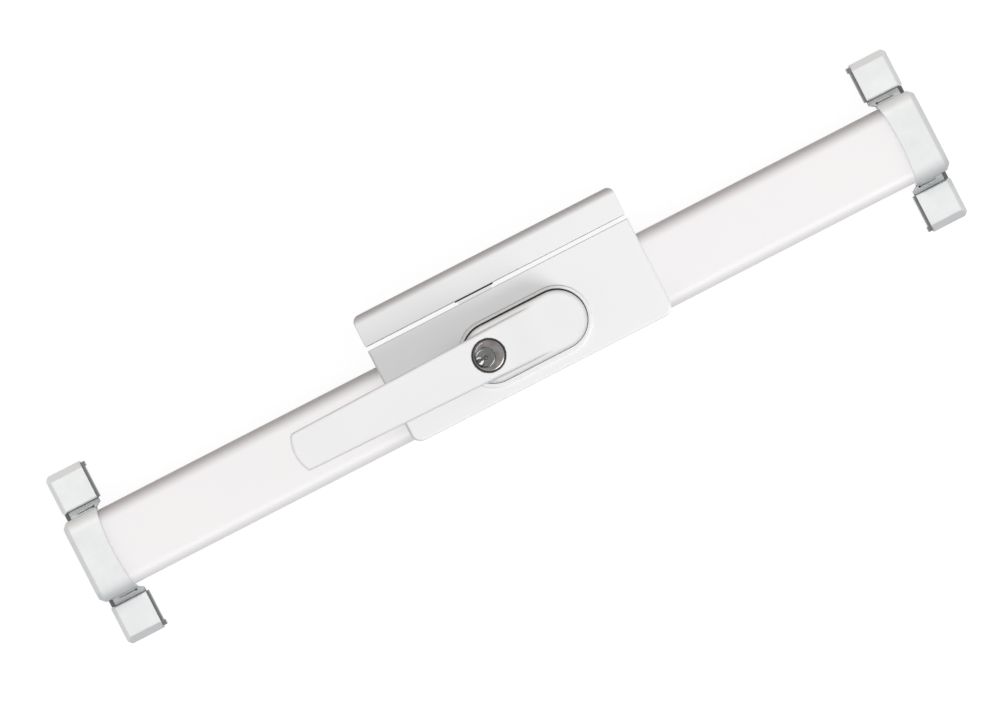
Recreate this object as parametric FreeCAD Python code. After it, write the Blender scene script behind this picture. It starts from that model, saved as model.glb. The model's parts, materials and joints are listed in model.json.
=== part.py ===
import FreeCAD, Part
import math
import os

# Window bar lock, lying on its back, in millimetres.
# The origin is the handle's axis on the back mounting plane.
# +X runs along the bars, +Y points at the middle strike and +Z away from the window.
# A quarter turn of the handle draws both bars and the middle bolt into the case.
# A key in the handle pushes a slide into a notched bush, which stops the handle.

Vector = FreeCAD.Vector

# Reach of the two bars, from the handle's axis to the outer face of each end hood
left_reach = 231.2
right_reach = 208.7

# Case of the lock
case_left = 69.0
case_right = 65.0
case_lower = 21.2
case_upper = 27.0
case_depth = 31.0
case_wall = 1.8
case_corner_radius = 5.0
case_front_radius = 1.2
case_inner_front_radius = 1.0
plinth_offset = 2.2
plinth_height = 0.8

# Middle strike, across the gap from the case
strike_gap = 2.2
strike_width = 14.8
strike_wall = 1.8
strike_front_radius = 4.0
strike_corner_radius = 3.5
strike_tab_width = 7.0
strike_upstand_height = 26.0
strike_upstand_margin = 12.0
strike_hole_spacing = 100.0
keeper_lip = 0.6
keeper_rim = 0.95
keeper_sill = 2.1

# Base plate and its holes
base_thickness = 3.0
fixing_spacing = 43.0
fixing_hole_radius = 2.75
anchor_spacing_x = 112.0
anchor_spacing_y = 22.0
anchor_hole_radius = 2.25
lug_thickness = 1.6
lug_width = 8.0
lug_height = 12.0
lower_lug_x = 24.0
upper_lug_x = 45.0

# Bars
bar_width = 38.0
bar_depth = 16.0
bar_wall = 1.6
bar_edge_radius = 6.0
bar_back_radius = 1.0
bar_lift = 1.0
bar_park = 30.0
bar_entry = 1.4
guide_length = 8.0

# Gearing
module = 1.0
pressure_angle = 20.0
bar_pinion_teeth = 24
bolt_pinion_teeth = 15
handle_turn = 90.0
tooth_backlash = 0.16
tooth_addendum = 1.0
tooth_dedendum = 1.25
rack_addendum = 0.8
rack_thickness = 5.0
rack_back = 4.8
rack_foot_length = 13.0
rack_foot_width = 30.0
mesh_margin = 8.0
pinion_overhang = 0.4
pinion_collar_radius = 10.2
pinion_collar_height = 1.3

# Middle bolt
bolt_width = 17.0
bolt_thickness = 7.0
bolt_centre_x = -13.4
bolt_head_start = 21.0
bolt_tail_width = 8.3
bolt_tail_end = -7.2
bolt_chamfer = 0.8
bolt_guide_length = 7.8
bolt_guide_margin = 5.0
bolt_guide_height = 20.0

# Drive shaft and the bush in the base plate
shaft_journal_radius = 6.6
shaft_seat_radius = 8.0
shaft_flat = 7.2
shaft_neck_radius = 6.0
shaft_neck_height = 1.8
shaft_square = 8.0
shaft_recess = 0.3
shaft_square_engagement = 6.0
socket_size = 7.1
socket_depth = 12.5
rear_bush_radius = 8.6
rear_flange_radius = 11.0
rear_flange_height = 1.0

# Handle
head_half_length = 16.5
head_centre_x = -1.5
head_radius = 13.8
head_height = 8.8
head_wall = 2.0
head_roof = 2.5
head_edge_radius = 2.0
lever_length = 120.2
lever_tip_width = 19.0
lever_tip_bow = 2.6
lever_root_width = 23.0
lever_root_x = 30.0
lever_rise = 5.0
lever_thickness = 9.6
lever_tip_thickness = 7.4
lever_corner_radius = 2.0
lever_edge_radius = 1.0
lever_flat_end = -11.0
lever_fade_end = 12.0
handle_neck_radius = 7.5
handle_neck_depth = 6.8
washer_thickness = 0.4
washer_overhang = 0.55
washer_shift = 0.3

# Notched bush in the case front
front_bush_radius = 9.5
front_bush_projection = 1.6
notch_flange_radius = 11.3
notch_flange_height = 3.2
notch_depth = 2.2
notch_width = 4.8

# Retaining ring and spring washer on the handle's neck
groove_depth = 0.8
ring_thickness = 1.0
ring_radius = 9.0
ring_gap = 4.0
spring_washer_thickness = 0.6

# Key cylinder in the handle
cylinder_x = -20.4
cylinder_radius = 7.9
cylinder_recess = 0.2
cylinder_rim = 1.0
cylinder_chamfer = 0.6
cylinder_step = 0.35
plug_offset = 1.9
plug_radius = 4.75
plug_recess = 0.15
keyway_width = 1.5
keyway_inner_end = -0.5
keyway_depth = 8.0
keyway_funnel_radius = 2.3
keyway_funnel_depth = 1.6
cam_radius = 2.2
cam_pin_radius = 0.9
cam_clearance = 0.15

# Lock slide under the key cylinder
slide_thickness = 1.8
slide_length = 9.4
slide_width = 13.0
slide_nose_width = 4.4
slide_back_x = -26.9
slide_nose_clearance = 1.1
slide_rib_thickness = 1.5

# End fittings
hood_length = 16.2
hood_half_width = 20.5
hood_top_wall = 2.4
hood_edge_radius = 7.0
hood_flare = 1.75
hood_bevel = 2.3
hood_mouth_gap = 0.3
ledge_start = 19.5
ledge_end = 24.1
ledge_flare_start = 20.6
ledge_flare_end = 22.2
ledge_root_height = 8.2
ledge_foot_height = 6.0
ledge_outer_offset = 4.9
ledge_inner_offset = 20.4
slit_length = 9.5
slit_offset = 0.8
slit_width = 0.5
slit_depth = 2.2
slit_eye_radius = 0.6
bracket_thickness = 2.5
bracket_half_width = 16.9
bracket_bend_radius = 5.0
bracket_inset = 2.4
wing_thickness = 3.0
wing_start = 24.3
wing_inner_offset = 21.7
wing_outer_offset = 3.9
wing_neck_offset = 2.8
wing_hole_offset = 12.2
wing_hole_spacing_x = 8.2
wing_hole_y = 34.0
wing_hole_radius = 2.0
flange_height = 11.0
flange_end = 42.2
flange_lip_width = 0.7
flange_lip_length = 2.4
cap_inner_offset = 20.5
cap_outer_offset = 2.5
cap_end = 43.1
cap_height = 12.0
cap_wall = 1.4
cap_side_bevel = 2.0
cap_side_fall = 1.4
cap_end_bevel = 3.3
cap_end_fall = 1.7
cap_corner = 1.7
cap_edge_radius = 1.2
tongue_clearance = 0.3
tongue_plate = 1.2
tongue_plate_inset = 0.6
tongue_spigot = 15.0
tongue_chamfer = 2.0

# Screws, rivets and clearances
screw_radius = 1.25
rivet_radius = 1.6
seat_gap = 0.05
running_gap = 0.06
slide_gap = 0.2
end_play = 0.1
through = 1.0

# Levels and positions that follow from the sizes above
bar_bottom = base_thickness + bar_lift
bar_top = bar_bottom + bar_depth
rack_bottom = bar_bottom + bar_wall
rack_top = rack_bottom + rack_thickness
pinion_bottom = rack_bottom - pinion_overhang
pinion_teeth_top = rack_top + pinion_overhang
pinion_top = pinion_teeth_top + pinion_collar_height
collar_bottom = base_thickness + rear_flange_height + end_play
bolt_bottom = pinion_top + slide_gap
bolt_top = bolt_bottom + bolt_thickness
bolt_pinion_top = bolt_top + pinion_overhang + slide_gap
case_front_inside = case_depth - case_wall
plinth_top = case_depth + plinth_height
head_bottom = plinth_top + washer_thickness
head_top = head_bottom + head_height
lever_top = head_top + lever_rise
neck_bottom = head_bottom - handle_neck_depth - seat_gap
cavity_top = head_top - head_roof
bar_pinion_radius = module * bar_pinion_teeth / 2
bolt_pinion_radius = module * bolt_pinion_teeth / 2
bar_travel = bar_pinion_radius * math.radians(handle_turn)
bolt_travel = bolt_pinion_radius * math.radians(handle_turn)
bar_inner_end = bar_park + bar_travel
bolt_tip = case_upper - case_wall + bolt_travel
plug_x = cylinder_x - plug_offset
cam_travel = math.sqrt(2) * cam_radius
slide_bottom = head_bottom + end_play
slide_top = slide_bottom + slide_thickness
cylinder_bottom = slide_top + slide_gap
strike_inner = case_upper + strike_gap
strike_outer = strike_inner + strike_width


def block(x_range, y_range, z_range):
    """Box between the low and high end of each range."""
    corner = Vector(x_range[0], y_range[0], z_range[0])
    length = x_range[1] - x_range[0]
    width = y_range[1] - y_range[0]
    height = z_range[1] - z_range[0]
    return Part.makeBox(length, width, height, corner)


def disc(radius, z_range, centre=(0, 0)):
    """Upright cylinder."""
    foot = Vector(centre[0], centre[1], z_range[0])
    return Part.makeCylinder(radius, z_range[1] - z_range[0], foot)


def ring(outer, inner, z_range, centre=(0, 0)):
    """Upright tube."""
    bore = disc(inner, (z_range[0] - through, z_range[1] + through), centre)
    return disc(outer, z_range, centre).cut(bore)


def prism(points, z_range):
    """Upright prism on a polygon in plan."""
    corners = [Vector(x, y, z_range[0]) for x, y in points]
    outline = Part.makePolygon(corners + corners[:1])
    return Part.Face(outline).extrude(Vector(0, 0, z_range[1] - z_range[0]))


def side_prism(points, y_range):
    """Prism along Y on a polygon of X and Z pairs."""
    corners = [Vector(x, y_range[0], z) for x, z in points]
    outline = Part.makePolygon(corners + corners[:1])
    return Part.Face(outline).extrude(Vector(0, y_range[1] - y_range[0], 0))


def square(size, z_range):
    """Upright square bar on the handle's axis."""
    half = size / 2
    return block((-half, half), (-half, half), z_range)


def head_oval(radius, z_range):
    """Upright oval in line with the handle's head, with straight sides and round ends along X."""
    low = z_range[0]
    left = head_centre_x - head_half_length
    right = head_centre_x + head_half_length
    corners = [
        Vector(left, -radius, low),
        Vector(right, -radius, low),
        Vector(right, radius, low),
        Vector(left, radius, low),
    ]
    right_end = Part.Arc(corners[1], Vector(right + radius, 0, low), corners[2])
    left_end = Part.Arc(corners[3], Vector(left - radius, 0, low), corners[0])
    edges = [
        Part.LineSegment(corners[0], corners[1]).toShape(),
        right_end.toShape(),
        Part.LineSegment(corners[2], corners[3]).toShape(),
        left_end.toShape(),
    ]
    outline = Part.Wire(edges)
    return Part.Face(outline).extrude(Vector(0, 0, z_range[1] - low))


def rounded_length(x_range, half_width, z_range, front_radius, back_radius=0.0):
    """Length along X of a flat section with rounded front edges, and back edges rounded or sharp."""
    start = x_range[0]
    low, high = z_range
    corners = [
        (half_width - back_radius, low + back_radius, back_radius, -90),
        (half_width - front_radius, high - front_radius, front_radius, 0),
        (front_radius - half_width, high - front_radius, front_radius, 90),
        (back_radius - half_width, low + back_radius, back_radius, 180),
    ]
    runs = []
    for centre_y, centre_z, radius, angle in corners:
        points = []
        for step in (0, 45, 90):
            turn = math.radians(angle + step)
            y = centre_y + radius * math.cos(turn)
            z = centre_z + radius * math.sin(turn)
            points.append(Vector(start, y, z))
        runs.append((radius, points))
    edges = []
    for index, (radius, points) in enumerate(runs):
        previous_end = runs[index - 1][1][2]
        edges.append(Part.LineSegment(previous_end, points[0]).toShape())
        if radius > 0:
            edges.append(Part.Arc(*points).toShape())
    face = Part.Face(Part.Wire(edges))
    return face.extrude(Vector(x_range[1] - start, 0, 0))


def turned(shape, angle=180):
    """Copy turned about the handle's axis."""
    copy = shape.copy()
    copy.rotate(Vector(0, 0, 0), Vector(0, 0, 1), angle)
    return copy


def edges_where(shape, test):
    """Edges whose centre passes a test."""
    return [edge for edge in shape.Edges if test(edge.CenterOfMass)]


def near(value, target):
    """Whether two lengths are the same to a hundredth of a millimetre."""
    return abs(value - target) < 0.01


def joined(shapes):
    """One solid of several that touch."""
    whole = shapes[0].fuse(shapes[1:])
    return whole.removeSplitter()


def countersunk(point, direction, radius, length):
    """Countersunk screw, with its head flush at a point; grown, it cuts the hole."""
    head = Part.makeCone(2 * radius, radius, radius, point, direction)
    shank = Part.makeCylinder(radius, length, point, direction)
    return head.fuse(shank).removeSplitter()


def flank_half_angle(radius, pitch_radius):
    """Half of a tooth's angle at a radius on its involute."""
    angle = math.radians(pressure_angle)
    base_radius = pitch_radius * math.cos(angle)
    thickness = math.pi * module / 2 - tooth_backlash / 2
    local = math.acos(min(1.0, base_radius / radius))
    involute_pitch = math.tan(angle) - angle
    involute_local = math.tan(local) - local
    return thickness / (2 * pitch_radius) + involute_pitch - involute_local


def polar(radius, angle, z):
    """Point at a radius and an angle in radians."""
    return Vector(radius * math.cos(angle), radius * math.sin(angle), z)


def gear(teeth, z_range):
    """Spur gear with involute flanks and one tooth centred on +X."""
    low = z_range[0]
    pitch_radius = module * teeth / 2
    root = pitch_radius - module * tooth_dedendum
    tip = pitch_radius + module * tooth_addendum
    base = max(root, pitch_radius * math.cos(math.radians(pressure_angle)))
    middle = (base + tip) / 2
    base_half = flank_half_angle(base, pitch_radius)
    middle_half = flank_half_angle(middle, pitch_radius)
    tip_half = flank_half_angle(tip, pitch_radius)
    pitch_angle = 2 * math.pi / teeth
    edges = []
    for tooth in range(teeth):
        centre = tooth * pitch_angle
        rising = [
            polar(base, centre - base_half, low),
            polar(middle, centre - middle_half, low),
            polar(tip, centre - tip_half, low),
        ]
        falling = [
            polar(tip, centre + tip_half, low),
            polar(middle, centre + middle_half, low),
            polar(base, centre + base_half, low),
        ]
        root_start = polar(root, centre - base_half, low)
        root_end = polar(root, centre + base_half, low)
        next_start = polar(root, centre + pitch_angle - base_half, low)
        root_middle = polar(root, centre + pitch_angle / 2, low)
        edges.append(Part.LineSegment(root_start, rising[0]).toShape())
        edges.append(Part.Arc(*rising).toShape())
        edges.append(Part.Arc(rising[2], polar(tip, centre, low), falling[0]).toShape())
        edges.append(Part.Arc(*falling).toShape())
        edges.append(Part.LineSegment(falling[2], root_end).toShape())
        edges.append(Part.Arc(root_end, root_middle, next_start).toShape())
    face = Part.Face(Part.Wire(edges))
    return face.extrude(Vector(0, 0, z_range[1] - low))


def rack_edge(tooth_centres, pitch_line, direction):
    """Points of a row of rack teeth whose tips point in the given direction."""
    half_pitch_width = math.pi * module / 4 - tooth_backlash / 4
    slope = math.tan(math.radians(pressure_angle))
    root_depth = module * tooth_dedendum
    tip_height = module * rack_addendum
    root_half = half_pitch_width + root_depth * slope
    tip_half = half_pitch_width - tip_height * slope
    points = []
    for centre in tooth_centres:
        points.append((centre - root_half, pitch_line - direction * root_depth))
        points.append((centre - tip_half, pitch_line + direction * tip_height))
        points.append((centre + tip_half, pitch_line + direction * tip_height))
        points.append((centre + root_half, pitch_line - direction * root_depth))
    return points


def case_cavity(gap):
    """Space inside the case cover, made smaller by a gap all round."""
    inset = case_wall + gap
    x_range = (inset - case_left, case_right - inset)
    y_range = (inset - case_lower, case_upper - inset)
    space = block(x_range, y_range, (-through, case_depth - inset))
    corner_radius = case_corner_radius - case_wall
    corners = edges_where(space, lambda c: near(c.y, y_range[0]) and c.z < case_depth - inset - 1
                          and (near(c.x, x_range[0]) or near(c.x, x_range[1])))
    space = space.makeFillet(corner_radius, corners)
    front = edges_where(space, lambda c: near(c.z, case_depth - inset) and c.y < y_range[1] - 1)
    return space.makeFillet(case_inner_front_radius, front)


def lug_places():
    """Screw positions along X with the side of the case that each stands on."""
    places = []
    for sign in (-1, 1):
        places.append((sign * lower_lug_x, -1))
        places.append((sign * upper_lug_x, 1))
    return places


def cover_screw(x, side, grow):
    """One screw through the long side of the case cover into a lug."""
    face_y = case_upper if side > 0 else -case_lower
    point = Vector(x, face_y, lug_height - lug_width / 2)
    length = case_wall + lug_thickness + grow
    return countersunk(point, Vector(0, -side, 0), screw_radius + grow, length)


def guide_screw_places():
    """Centres of the two screws that hold the bolt guide."""
    reach = bolt_width / 2 + bolt_guide_margin / 2
    y = case_upper - case_wall - bolt_guide_length / 2
    return [(bolt_centre_x - reach, y), (bolt_centre_x + reach, y)]


def guide_screw(place, grow):
    """One screw from the back of the base plate into the bolt guide."""
    point = Vector(place[0], place[1], 0)
    length = base_thickness + bolt_guide_height / 2 + grow
    return countersunk(point, Vector(0, 0, 1), screw_radius + grow, length)


def base_plate():
    """Steel plate with four folded lugs that the cover is screwed to."""
    cavity = case_cavity(seat_gap)
    plate = block((-case_left, case_right), (-case_lower, case_upper), (0, base_thickness))
    pieces = [plate]
    for x, side in lug_places():
        wall_y = case_upper - case_wall if side > 0 else case_wall - case_lower
        inner_y = wall_y - side * (lug_thickness + seat_gap)
        y_range = (min(wall_y, inner_y), max(wall_y, inner_y))
        half = lug_width / 2
        pieces.append(block((x - half, x + half), y_range, (0, lug_height)))
    solid = joined(pieces).common(cavity)
    cuts = [disc(rear_bush_radius + seat_gap, (-through, base_thickness + through))]
    for sign in (-1, 1):
        centre = (sign * fixing_spacing / 2, 0)
        cuts.append(disc(fixing_hole_radius, (-through, base_thickness + through), centre))
    for x_sign in (-1, 1):
        for y_sign in (-1, 1):
            point = Vector(x_sign * anchor_spacing_x / 2, y_sign * anchor_spacing_y / 2, base_thickness)
            length = base_thickness + through
            cuts.append(countersunk(point, Vector(0, 0, -1), anchor_hole_radius, length))
    for x, side in lug_places():
        cuts.append(cover_screw(x, side, seat_gap))
    for place in guide_screw_places():
        cuts.append(guide_screw(place, seat_gap))
    return solid.cut(cuts)


def bar_slot(x_range, back, gap):
    """Room for a bar, open towards the back of the lock down to a level."""
    half = bar_width / 2 + gap
    return rounded_length(x_range, half, (back, bar_top + gap), bar_edge_radius + gap)


def bolt_window(y_range, gap):
    """Room for the middle bolt."""
    half = bolt_width / 2 + gap
    x_range = (bolt_centre_x - half, bolt_centre_x + half)
    return block(x_range, y_range, (bolt_bottom - gap, bolt_top + gap))


def case_cover():
    """White shell with a raised oval under the handle."""
    shell = block((-case_left, case_right), (-case_lower, case_upper), (0, case_depth))
    corners = edges_where(shell, lambda c: near(c.y, -case_lower) and near(c.z, case_depth / 2))
    shell = shell.makeFillet(case_corner_radius, corners)
    front = edges_where(shell, lambda c: near(c.z, case_depth) and c.y < case_upper - 1)
    shell = shell.makeFillet(case_front_radius, front)
    oval = head_oval(head_radius + plinth_offset, (case_depth - case_wall / 2, plinth_top))
    rim = edges_where(oval, lambda c: near(c.z, plinth_top))
    oval = oval.makeFillet(plinth_height / 2, rim)
    shell = shell.fuse(oval)
    cuts = [case_cavity(0)]
    cuts.append(disc(front_bush_radius + seat_gap, (case_front_inside - through, plinth_top + through)))
    slot_reach = case_wall + case_corner_radius
    cuts.append(bar_slot((-case_left - through, slot_reach - case_left), -through, slide_gap))
    cuts.append(bar_slot((case_right - slot_reach, case_right + through), -through, slide_gap))
    cuts.append(bolt_window((case_upper - case_wall - through, case_upper + through), slide_gap))
    for x, side in lug_places():
        cuts.append(cover_screw(x, side, seat_gap))
    return shell.cut(cuts)


def cover_screws():
    """Four screws of the case cover."""
    return Part.makeCompound([cover_screw(x, side, 0) for x, side in lug_places()])


def bar_guide(side):
    """Nylon channel that the bar slides in, open to the lower side."""
    end = case_left if side < 0 else case_right
    near_end = side * (end - case_wall - guide_length)
    far_end = side * end
    x_range = (min(near_end, far_end), max(near_end, far_end))
    body = block(x_range, (-case_lower, case_upper), (base_thickness, case_depth))
    body = body.common(case_cavity(seat_gap))
    passage = bar_slot((x_range[0] - through, x_range[1] + through), bar_bottom - slide_gap, slide_gap)
    side_opening = block(
        (x_range[0] - through, x_range[1] + through),
        (-case_lower, 0),
        (bar_bottom - slide_gap, bar_top + slide_gap),
    )
    return body.cut([passage, side_opening])


def bolt_guide():
    """Nylon block with the window that the middle bolt slides through."""
    half = bolt_width / 2 + bolt_guide_margin
    inner_y = case_upper - case_wall - bolt_guide_length
    top = base_thickness + bolt_guide_height
    body = block((bolt_centre_x - half, bolt_centre_x + half), (inner_y, case_upper), (base_thickness, top))
    body = body.common(case_cavity(seat_gap))
    cuts = [bolt_window((inner_y - through, case_upper + through), slide_gap)]
    for place in guide_screw_places():
        cuts.append(guide_screw(place, seat_gap))
    return body.cut(cuts)


def bolt_guide_screws():
    """Two screws of the bolt guide."""
    return Part.makeCompound([guide_screw(place, 0) for place in guide_screw_places()])


def rear_bush():
    """Flanged bush in the base plate."""
    sleeve = disc(rear_bush_radius, (0, base_thickness))
    flange = disc(rear_flange_radius, (base_thickness, base_thickness + rear_flange_height))
    bore = disc(shaft_journal_radius + running_gap, (-through, collar_bottom + through))
    return joined([sleeve, flange]).cut(bore)


def two_flats(radius, half_flat, z_range):
    """Round bar with two flats across Y."""
    return disc(radius, z_range).common(block((-radius, radius), (-half_flat, half_flat), z_range))


def drive_shaft():
    """Shaft with a square socket behind, the bolt pinion and a square for the handle."""
    top = neck_bottom + shaft_square_engagement
    neck_start = bolt_pinion_top
    neck_end = neck_start + shaft_neck_height
    pieces = [
        disc(shaft_journal_radius, (shaft_recess, collar_bottom)),
        two_flats(shaft_seat_radius, shaft_flat, (collar_bottom, pinion_top)),
        gear(bolt_pinion_teeth, (pinion_top, bolt_pinion_top)),
        disc(shaft_neck_radius, (neck_start, neck_end)),
        square(shaft_square, (neck_end, top)),
    ]
    socket = square(socket_size, (shaft_recess - through, shaft_recess + socket_depth))
    return joined(pieces).cut(socket)


def bar_pinion():
    """Pinion between the two racks, keyed on the shaft by two flats."""
    collar = disc(pinion_collar_radius, (collar_bottom, pinion_top))
    wheel = joined([gear(bar_pinion_teeth, (pinion_bottom, pinion_teeth_top)), collar])
    z_range = (collar_bottom - through, pinion_top + through)
    bore = two_flats(shaft_seat_radius + seat_gap, shaft_flat + seat_gap, z_range)
    return wheel.cut(bore)


def bar_tube(reach):
    """Hollow aluminium bar on the right, as long as its reach asks."""
    outer_end = reach - hood_length + bar_entry
    half = bar_width / 2
    x_range = (bar_inner_end, outer_end)
    outer = rounded_length(x_range, half, (bar_bottom, bar_top), bar_edge_radius, bar_back_radius)
    inner = rounded_length(
        (x_range[0] - through, x_range[1] + through),
        half - bar_wall,
        (bar_bottom + bar_wall, bar_top - bar_wall),
        bar_edge_radius - bar_wall,
    )
    cuts = [inner]
    for rivet in bar_rivet_places(reach):
        cuts.append(bar_rivet(rivet, seat_gap))
    return outer.cut(cuts)


def rack():
    """Steel rack that reaches past the pinion, with its foot inside the right bar."""
    pitch = math.pi * module
    last_tooth = int((bar_travel + mesh_margin) / pitch)
    first_tooth = -int(mesh_margin / pitch)
    centres = [(index + 0.5) * pitch for index in range(first_tooth, last_tooth + 1)]
    teeth = rack_edge(centres, bar_pinion_radius, -1)
    root_y = bar_pinion_radius + module * tooth_dedendum
    tip_y = bar_pinion_radius - module * rack_addendum
    back_y = bar_pinion_radius + rack_back
    tip_x = centres[0] - pitch / 2
    shoulder_x = centres[-1] + pitch / 2
    points = [(tip_x, back_y), (tip_x, root_y)] + teeth
    points += [(shoulder_x, root_y), (shoulder_x, tip_y), (bar_inner_end, tip_y)]
    points += [(bar_inner_end, -rack_foot_width / 2)]
    points += [(bar_inner_end + rack_foot_length, -rack_foot_width / 2)]
    points += [(bar_inner_end + rack_foot_length, back_y)]
    plate = prism(points, (rack_bottom, rack_top))
    cuts = [bar_rivet(place, seat_gap) for place in rack_rivet_places()]
    return plate.cut(cuts)


def rack_rivet_places():
    """Rivets through the rack's foot."""
    x = bar_inner_end + rack_foot_length / 2
    y = rack_foot_width / 3
    return [(x, -y), (x, y)]


def tongue_rivet_places(reach):
    """Rivets through the tongue's spigot."""
    x = reach - hood_length + bar_entry - tongue_spigot / 2
    y = rack_foot_width / 3
    return [(x, -y), (x, y)]


def bar_rivet_places(reach):
    """All rivets of one bar."""
    return rack_rivet_places() + tongue_rivet_places(reach)


def bar_rivet(place, grow):
    """Rivet through the back of the bar, with its head flush."""
    point = Vector(place[0], place[1], bar_bottom)
    length = bar_wall + rack_thickness - end_play + grow
    return countersunk(point, Vector(0, 0, 1), rivet_radius / 2 + grow, length)


def bar_rivets(reach):
    """The rivets of one bar."""
    return Part.makeCompound([bar_rivet(place, 0) for place in bar_rivet_places(reach)])


def tongue_sizes():
    """Half width and top of the tongue that enters the end bracket."""
    half = bracket_half_width - bracket_thickness - tongue_clearance
    top = bar_top + seat_gap * 12 - bracket_thickness - tongue_clearance
    return half, top


def bar_tongue(reach):
    """Cast tongue in the end of the right bar: spigot, end plate and locking nose."""
    bar_end = reach - hood_length + bar_entry
    plate_end = bar_end + tongue_plate
    nose_end = reach - bracket_inset - tongue_clearance * 2
    half, top = tongue_sizes()
    nose_bottom = bar_bottom + tongue_plate_inset
    spigot = rounded_length(
        (bar_end - tongue_spigot, bar_end),
        bar_width / 2 - bar_wall - seat_gap,
        (rack_bottom, bar_top - bar_wall - seat_gap),
        bar_edge_radius - bar_wall,
    )
    plate = rounded_length(
        (bar_end, plate_end),
        bar_width / 2 - tongue_plate_inset,
        (bar_bottom + tongue_plate_inset, bar_top - tongue_plate_inset),
        bar_edge_radius - tongue_plate_inset,
        bar_back_radius,
    )
    nose = rounded_length((plate_end, nose_end), half, (nose_bottom, top), bracket_thickness)
    tapered = prism(
        [
            (plate_end, -half),
            (nose_end - tongue_chamfer, -half),
            (nose_end, tongue_chamfer - half),
            (nose_end, half - tongue_chamfer),
            (nose_end - tongue_chamfer, half),
            (plate_end, half),
        ],
        (nose_bottom, top),
    )
    nose = nose.common(tapered)
    solid = joined([spigot, plate, nose])
    cuts = [bar_rivet(place, seat_gap) for place in tongue_rivet_places(reach)]
    return solid.cut(cuts)


def middle_bolt():
    """Flat bolt with a rack along its tail."""
    half = bolt_width / 2
    x_low = bolt_centre_x - half
    x_high = bolt_centre_x + half
    head = block((x_low, x_high), (bolt_head_start, bolt_tip), (bolt_bottom, bolt_top))
    nose = edges_where(head, lambda c: near(c.y, bolt_tip))
    head = head.makeChamfer(bolt_chamfer, nose)
    pitch = math.pi * module
    root_x = -bolt_pinion_radius - module * tooth_dedendum
    count = int((bolt_head_start - bolt_tail_end) / pitch)
    centres = [(index - 1) * pitch for index in range(count)]
    edge = rack_edge(centres, -bolt_pinion_radius, 1)
    teeth = [(x, y) for y, x in edge]
    left_x = root_x - bolt_tail_width
    points = [(left_x, bolt_head_start), (left_x, bolt_tail_end), (root_x, bolt_tail_end)]
    points += teeth + [(root_x, bolt_head_start)]
    tail = prism(points, (bolt_bottom, bolt_top))
    return joined([head, tail])


def lever():
    """Tapered lever that fades into the top of the handle's head."""
    tip_half = lever_tip_width / 2
    root_half = lever_root_width / 2
    bottom = lever_top - lever_thickness
    shoulder_x = lever_tip_bow - lever_length
    corners = [
        Vector(shoulder_x, -tip_half, head_bottom),
        Vector(lever_fade_end, -root_half, head_bottom),
        Vector(lever_fade_end, root_half, head_bottom),
        Vector(shoulder_x, tip_half, head_bottom),
    ]
    sides = [Part.LineSegment(corners[index], corners[index + 1]).toShape() for index in range(3)]
    tip = Part.Arc(corners[3], Vector(-lever_length, 0, head_bottom), corners[0]).toShape()
    outline = Part.Wire(sides + [tip])
    plan = Part.Face(outline).extrude(Vector(0, 0, lever_top + through - head_bottom))
    side = side_prism(
        [
            (-lever_length, lever_top - lever_tip_thickness),
            (-lever_length, lever_top),
            (lever_flat_end, lever_top),
            (lever_fade_end, head_top),
            (lever_fade_end, bottom),
            (-lever_root_x, bottom),
        ],
        (-lever_root_width, lever_root_width),
    )
    bar = plan.common(side)
    uprights = edges_where(bar, lambda c: near(c.x, shoulder_x) and near(abs(c.y), tip_half))
    bar = bar.makeFillet(lever_corner_radius, uprights)
    rim = edges_where(bar, lambda c: c.z > head_top + through and c.x < lever_fade_end - through
                      and (abs(c.y) > tip_half / 2 or c.x < shoulder_x))
    return bar.makeFillet(lever_edge_radius, rim)


def handle_lever():
    """One casting: oval head, lever, and the neck that turns in the case front."""
    head = head_oval(head_radius, (head_bottom, head_top))
    rim = edges_where(head, lambda c: near(c.z, head_top))
    head = head.makeFillet(head_edge_radius, rim)
    solid = head.fuse(lever())
    cavity = head_oval(head_radius - head_wall, (head_bottom - through, cavity_top))
    solid = solid.cut(cavity)
    additions = [disc(handle_neck_radius, (neck_bottom, cavity_top))]
    for sign in (-1, 1):
        inner_y = sign * (slide_width / 2 + slide_gap)
        outer_y = inner_y + sign * slide_rib_thickness
        y_range = (min(inner_y, outer_y), max(inner_y, outer_y))
        x_range = (slide_back_x, slide_back_x + slide_length + cam_travel / 2)
        rib = block(x_range, y_range, (head_bottom, cavity_top))
        additions.append(rib.common(cavity))
    solid = solid.fuse(additions).removeSplitter()
    socket_top = neck_bottom + shaft_square_engagement + end_play
    groove = ring(handle_neck_radius + through, handle_neck_radius - groove_depth, ring_levels(seat_gap))
    cuts = [
        square(shaft_square + 2 * seat_gap, (neck_bottom - through, socket_top)),
        disc(cylinder_radius + seat_gap, (cylinder_bottom - seat_gap, lever_top + through), (cylinder_x, 0)),
        groove,
    ]
    return solid.cut(cuts)


def ring_levels(grow):
    """Bottom and top of the retaining ring in its groove."""
    top = case_front_inside - front_bush_projection - spring_washer_thickness - end_play
    return top - ring_thickness - grow, top + grow


def retaining_ring():
    """Open ring in the groove of the handle's neck."""
    band = ring(ring_radius, handle_neck_radius - groove_depth + seat_gap, ring_levels(0))
    opening = block((0, ring_radius + through), (-ring_gap / 2, ring_gap / 2), ring_levels(through))
    return band.cut(opening)


def spring_washer():
    """Washer between the retaining ring and the bush."""
    low = ring_levels(0)[1]
    return ring(front_bush_radius, handle_neck_radius + running_gap, (low, low + spring_washer_thickness))


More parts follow.
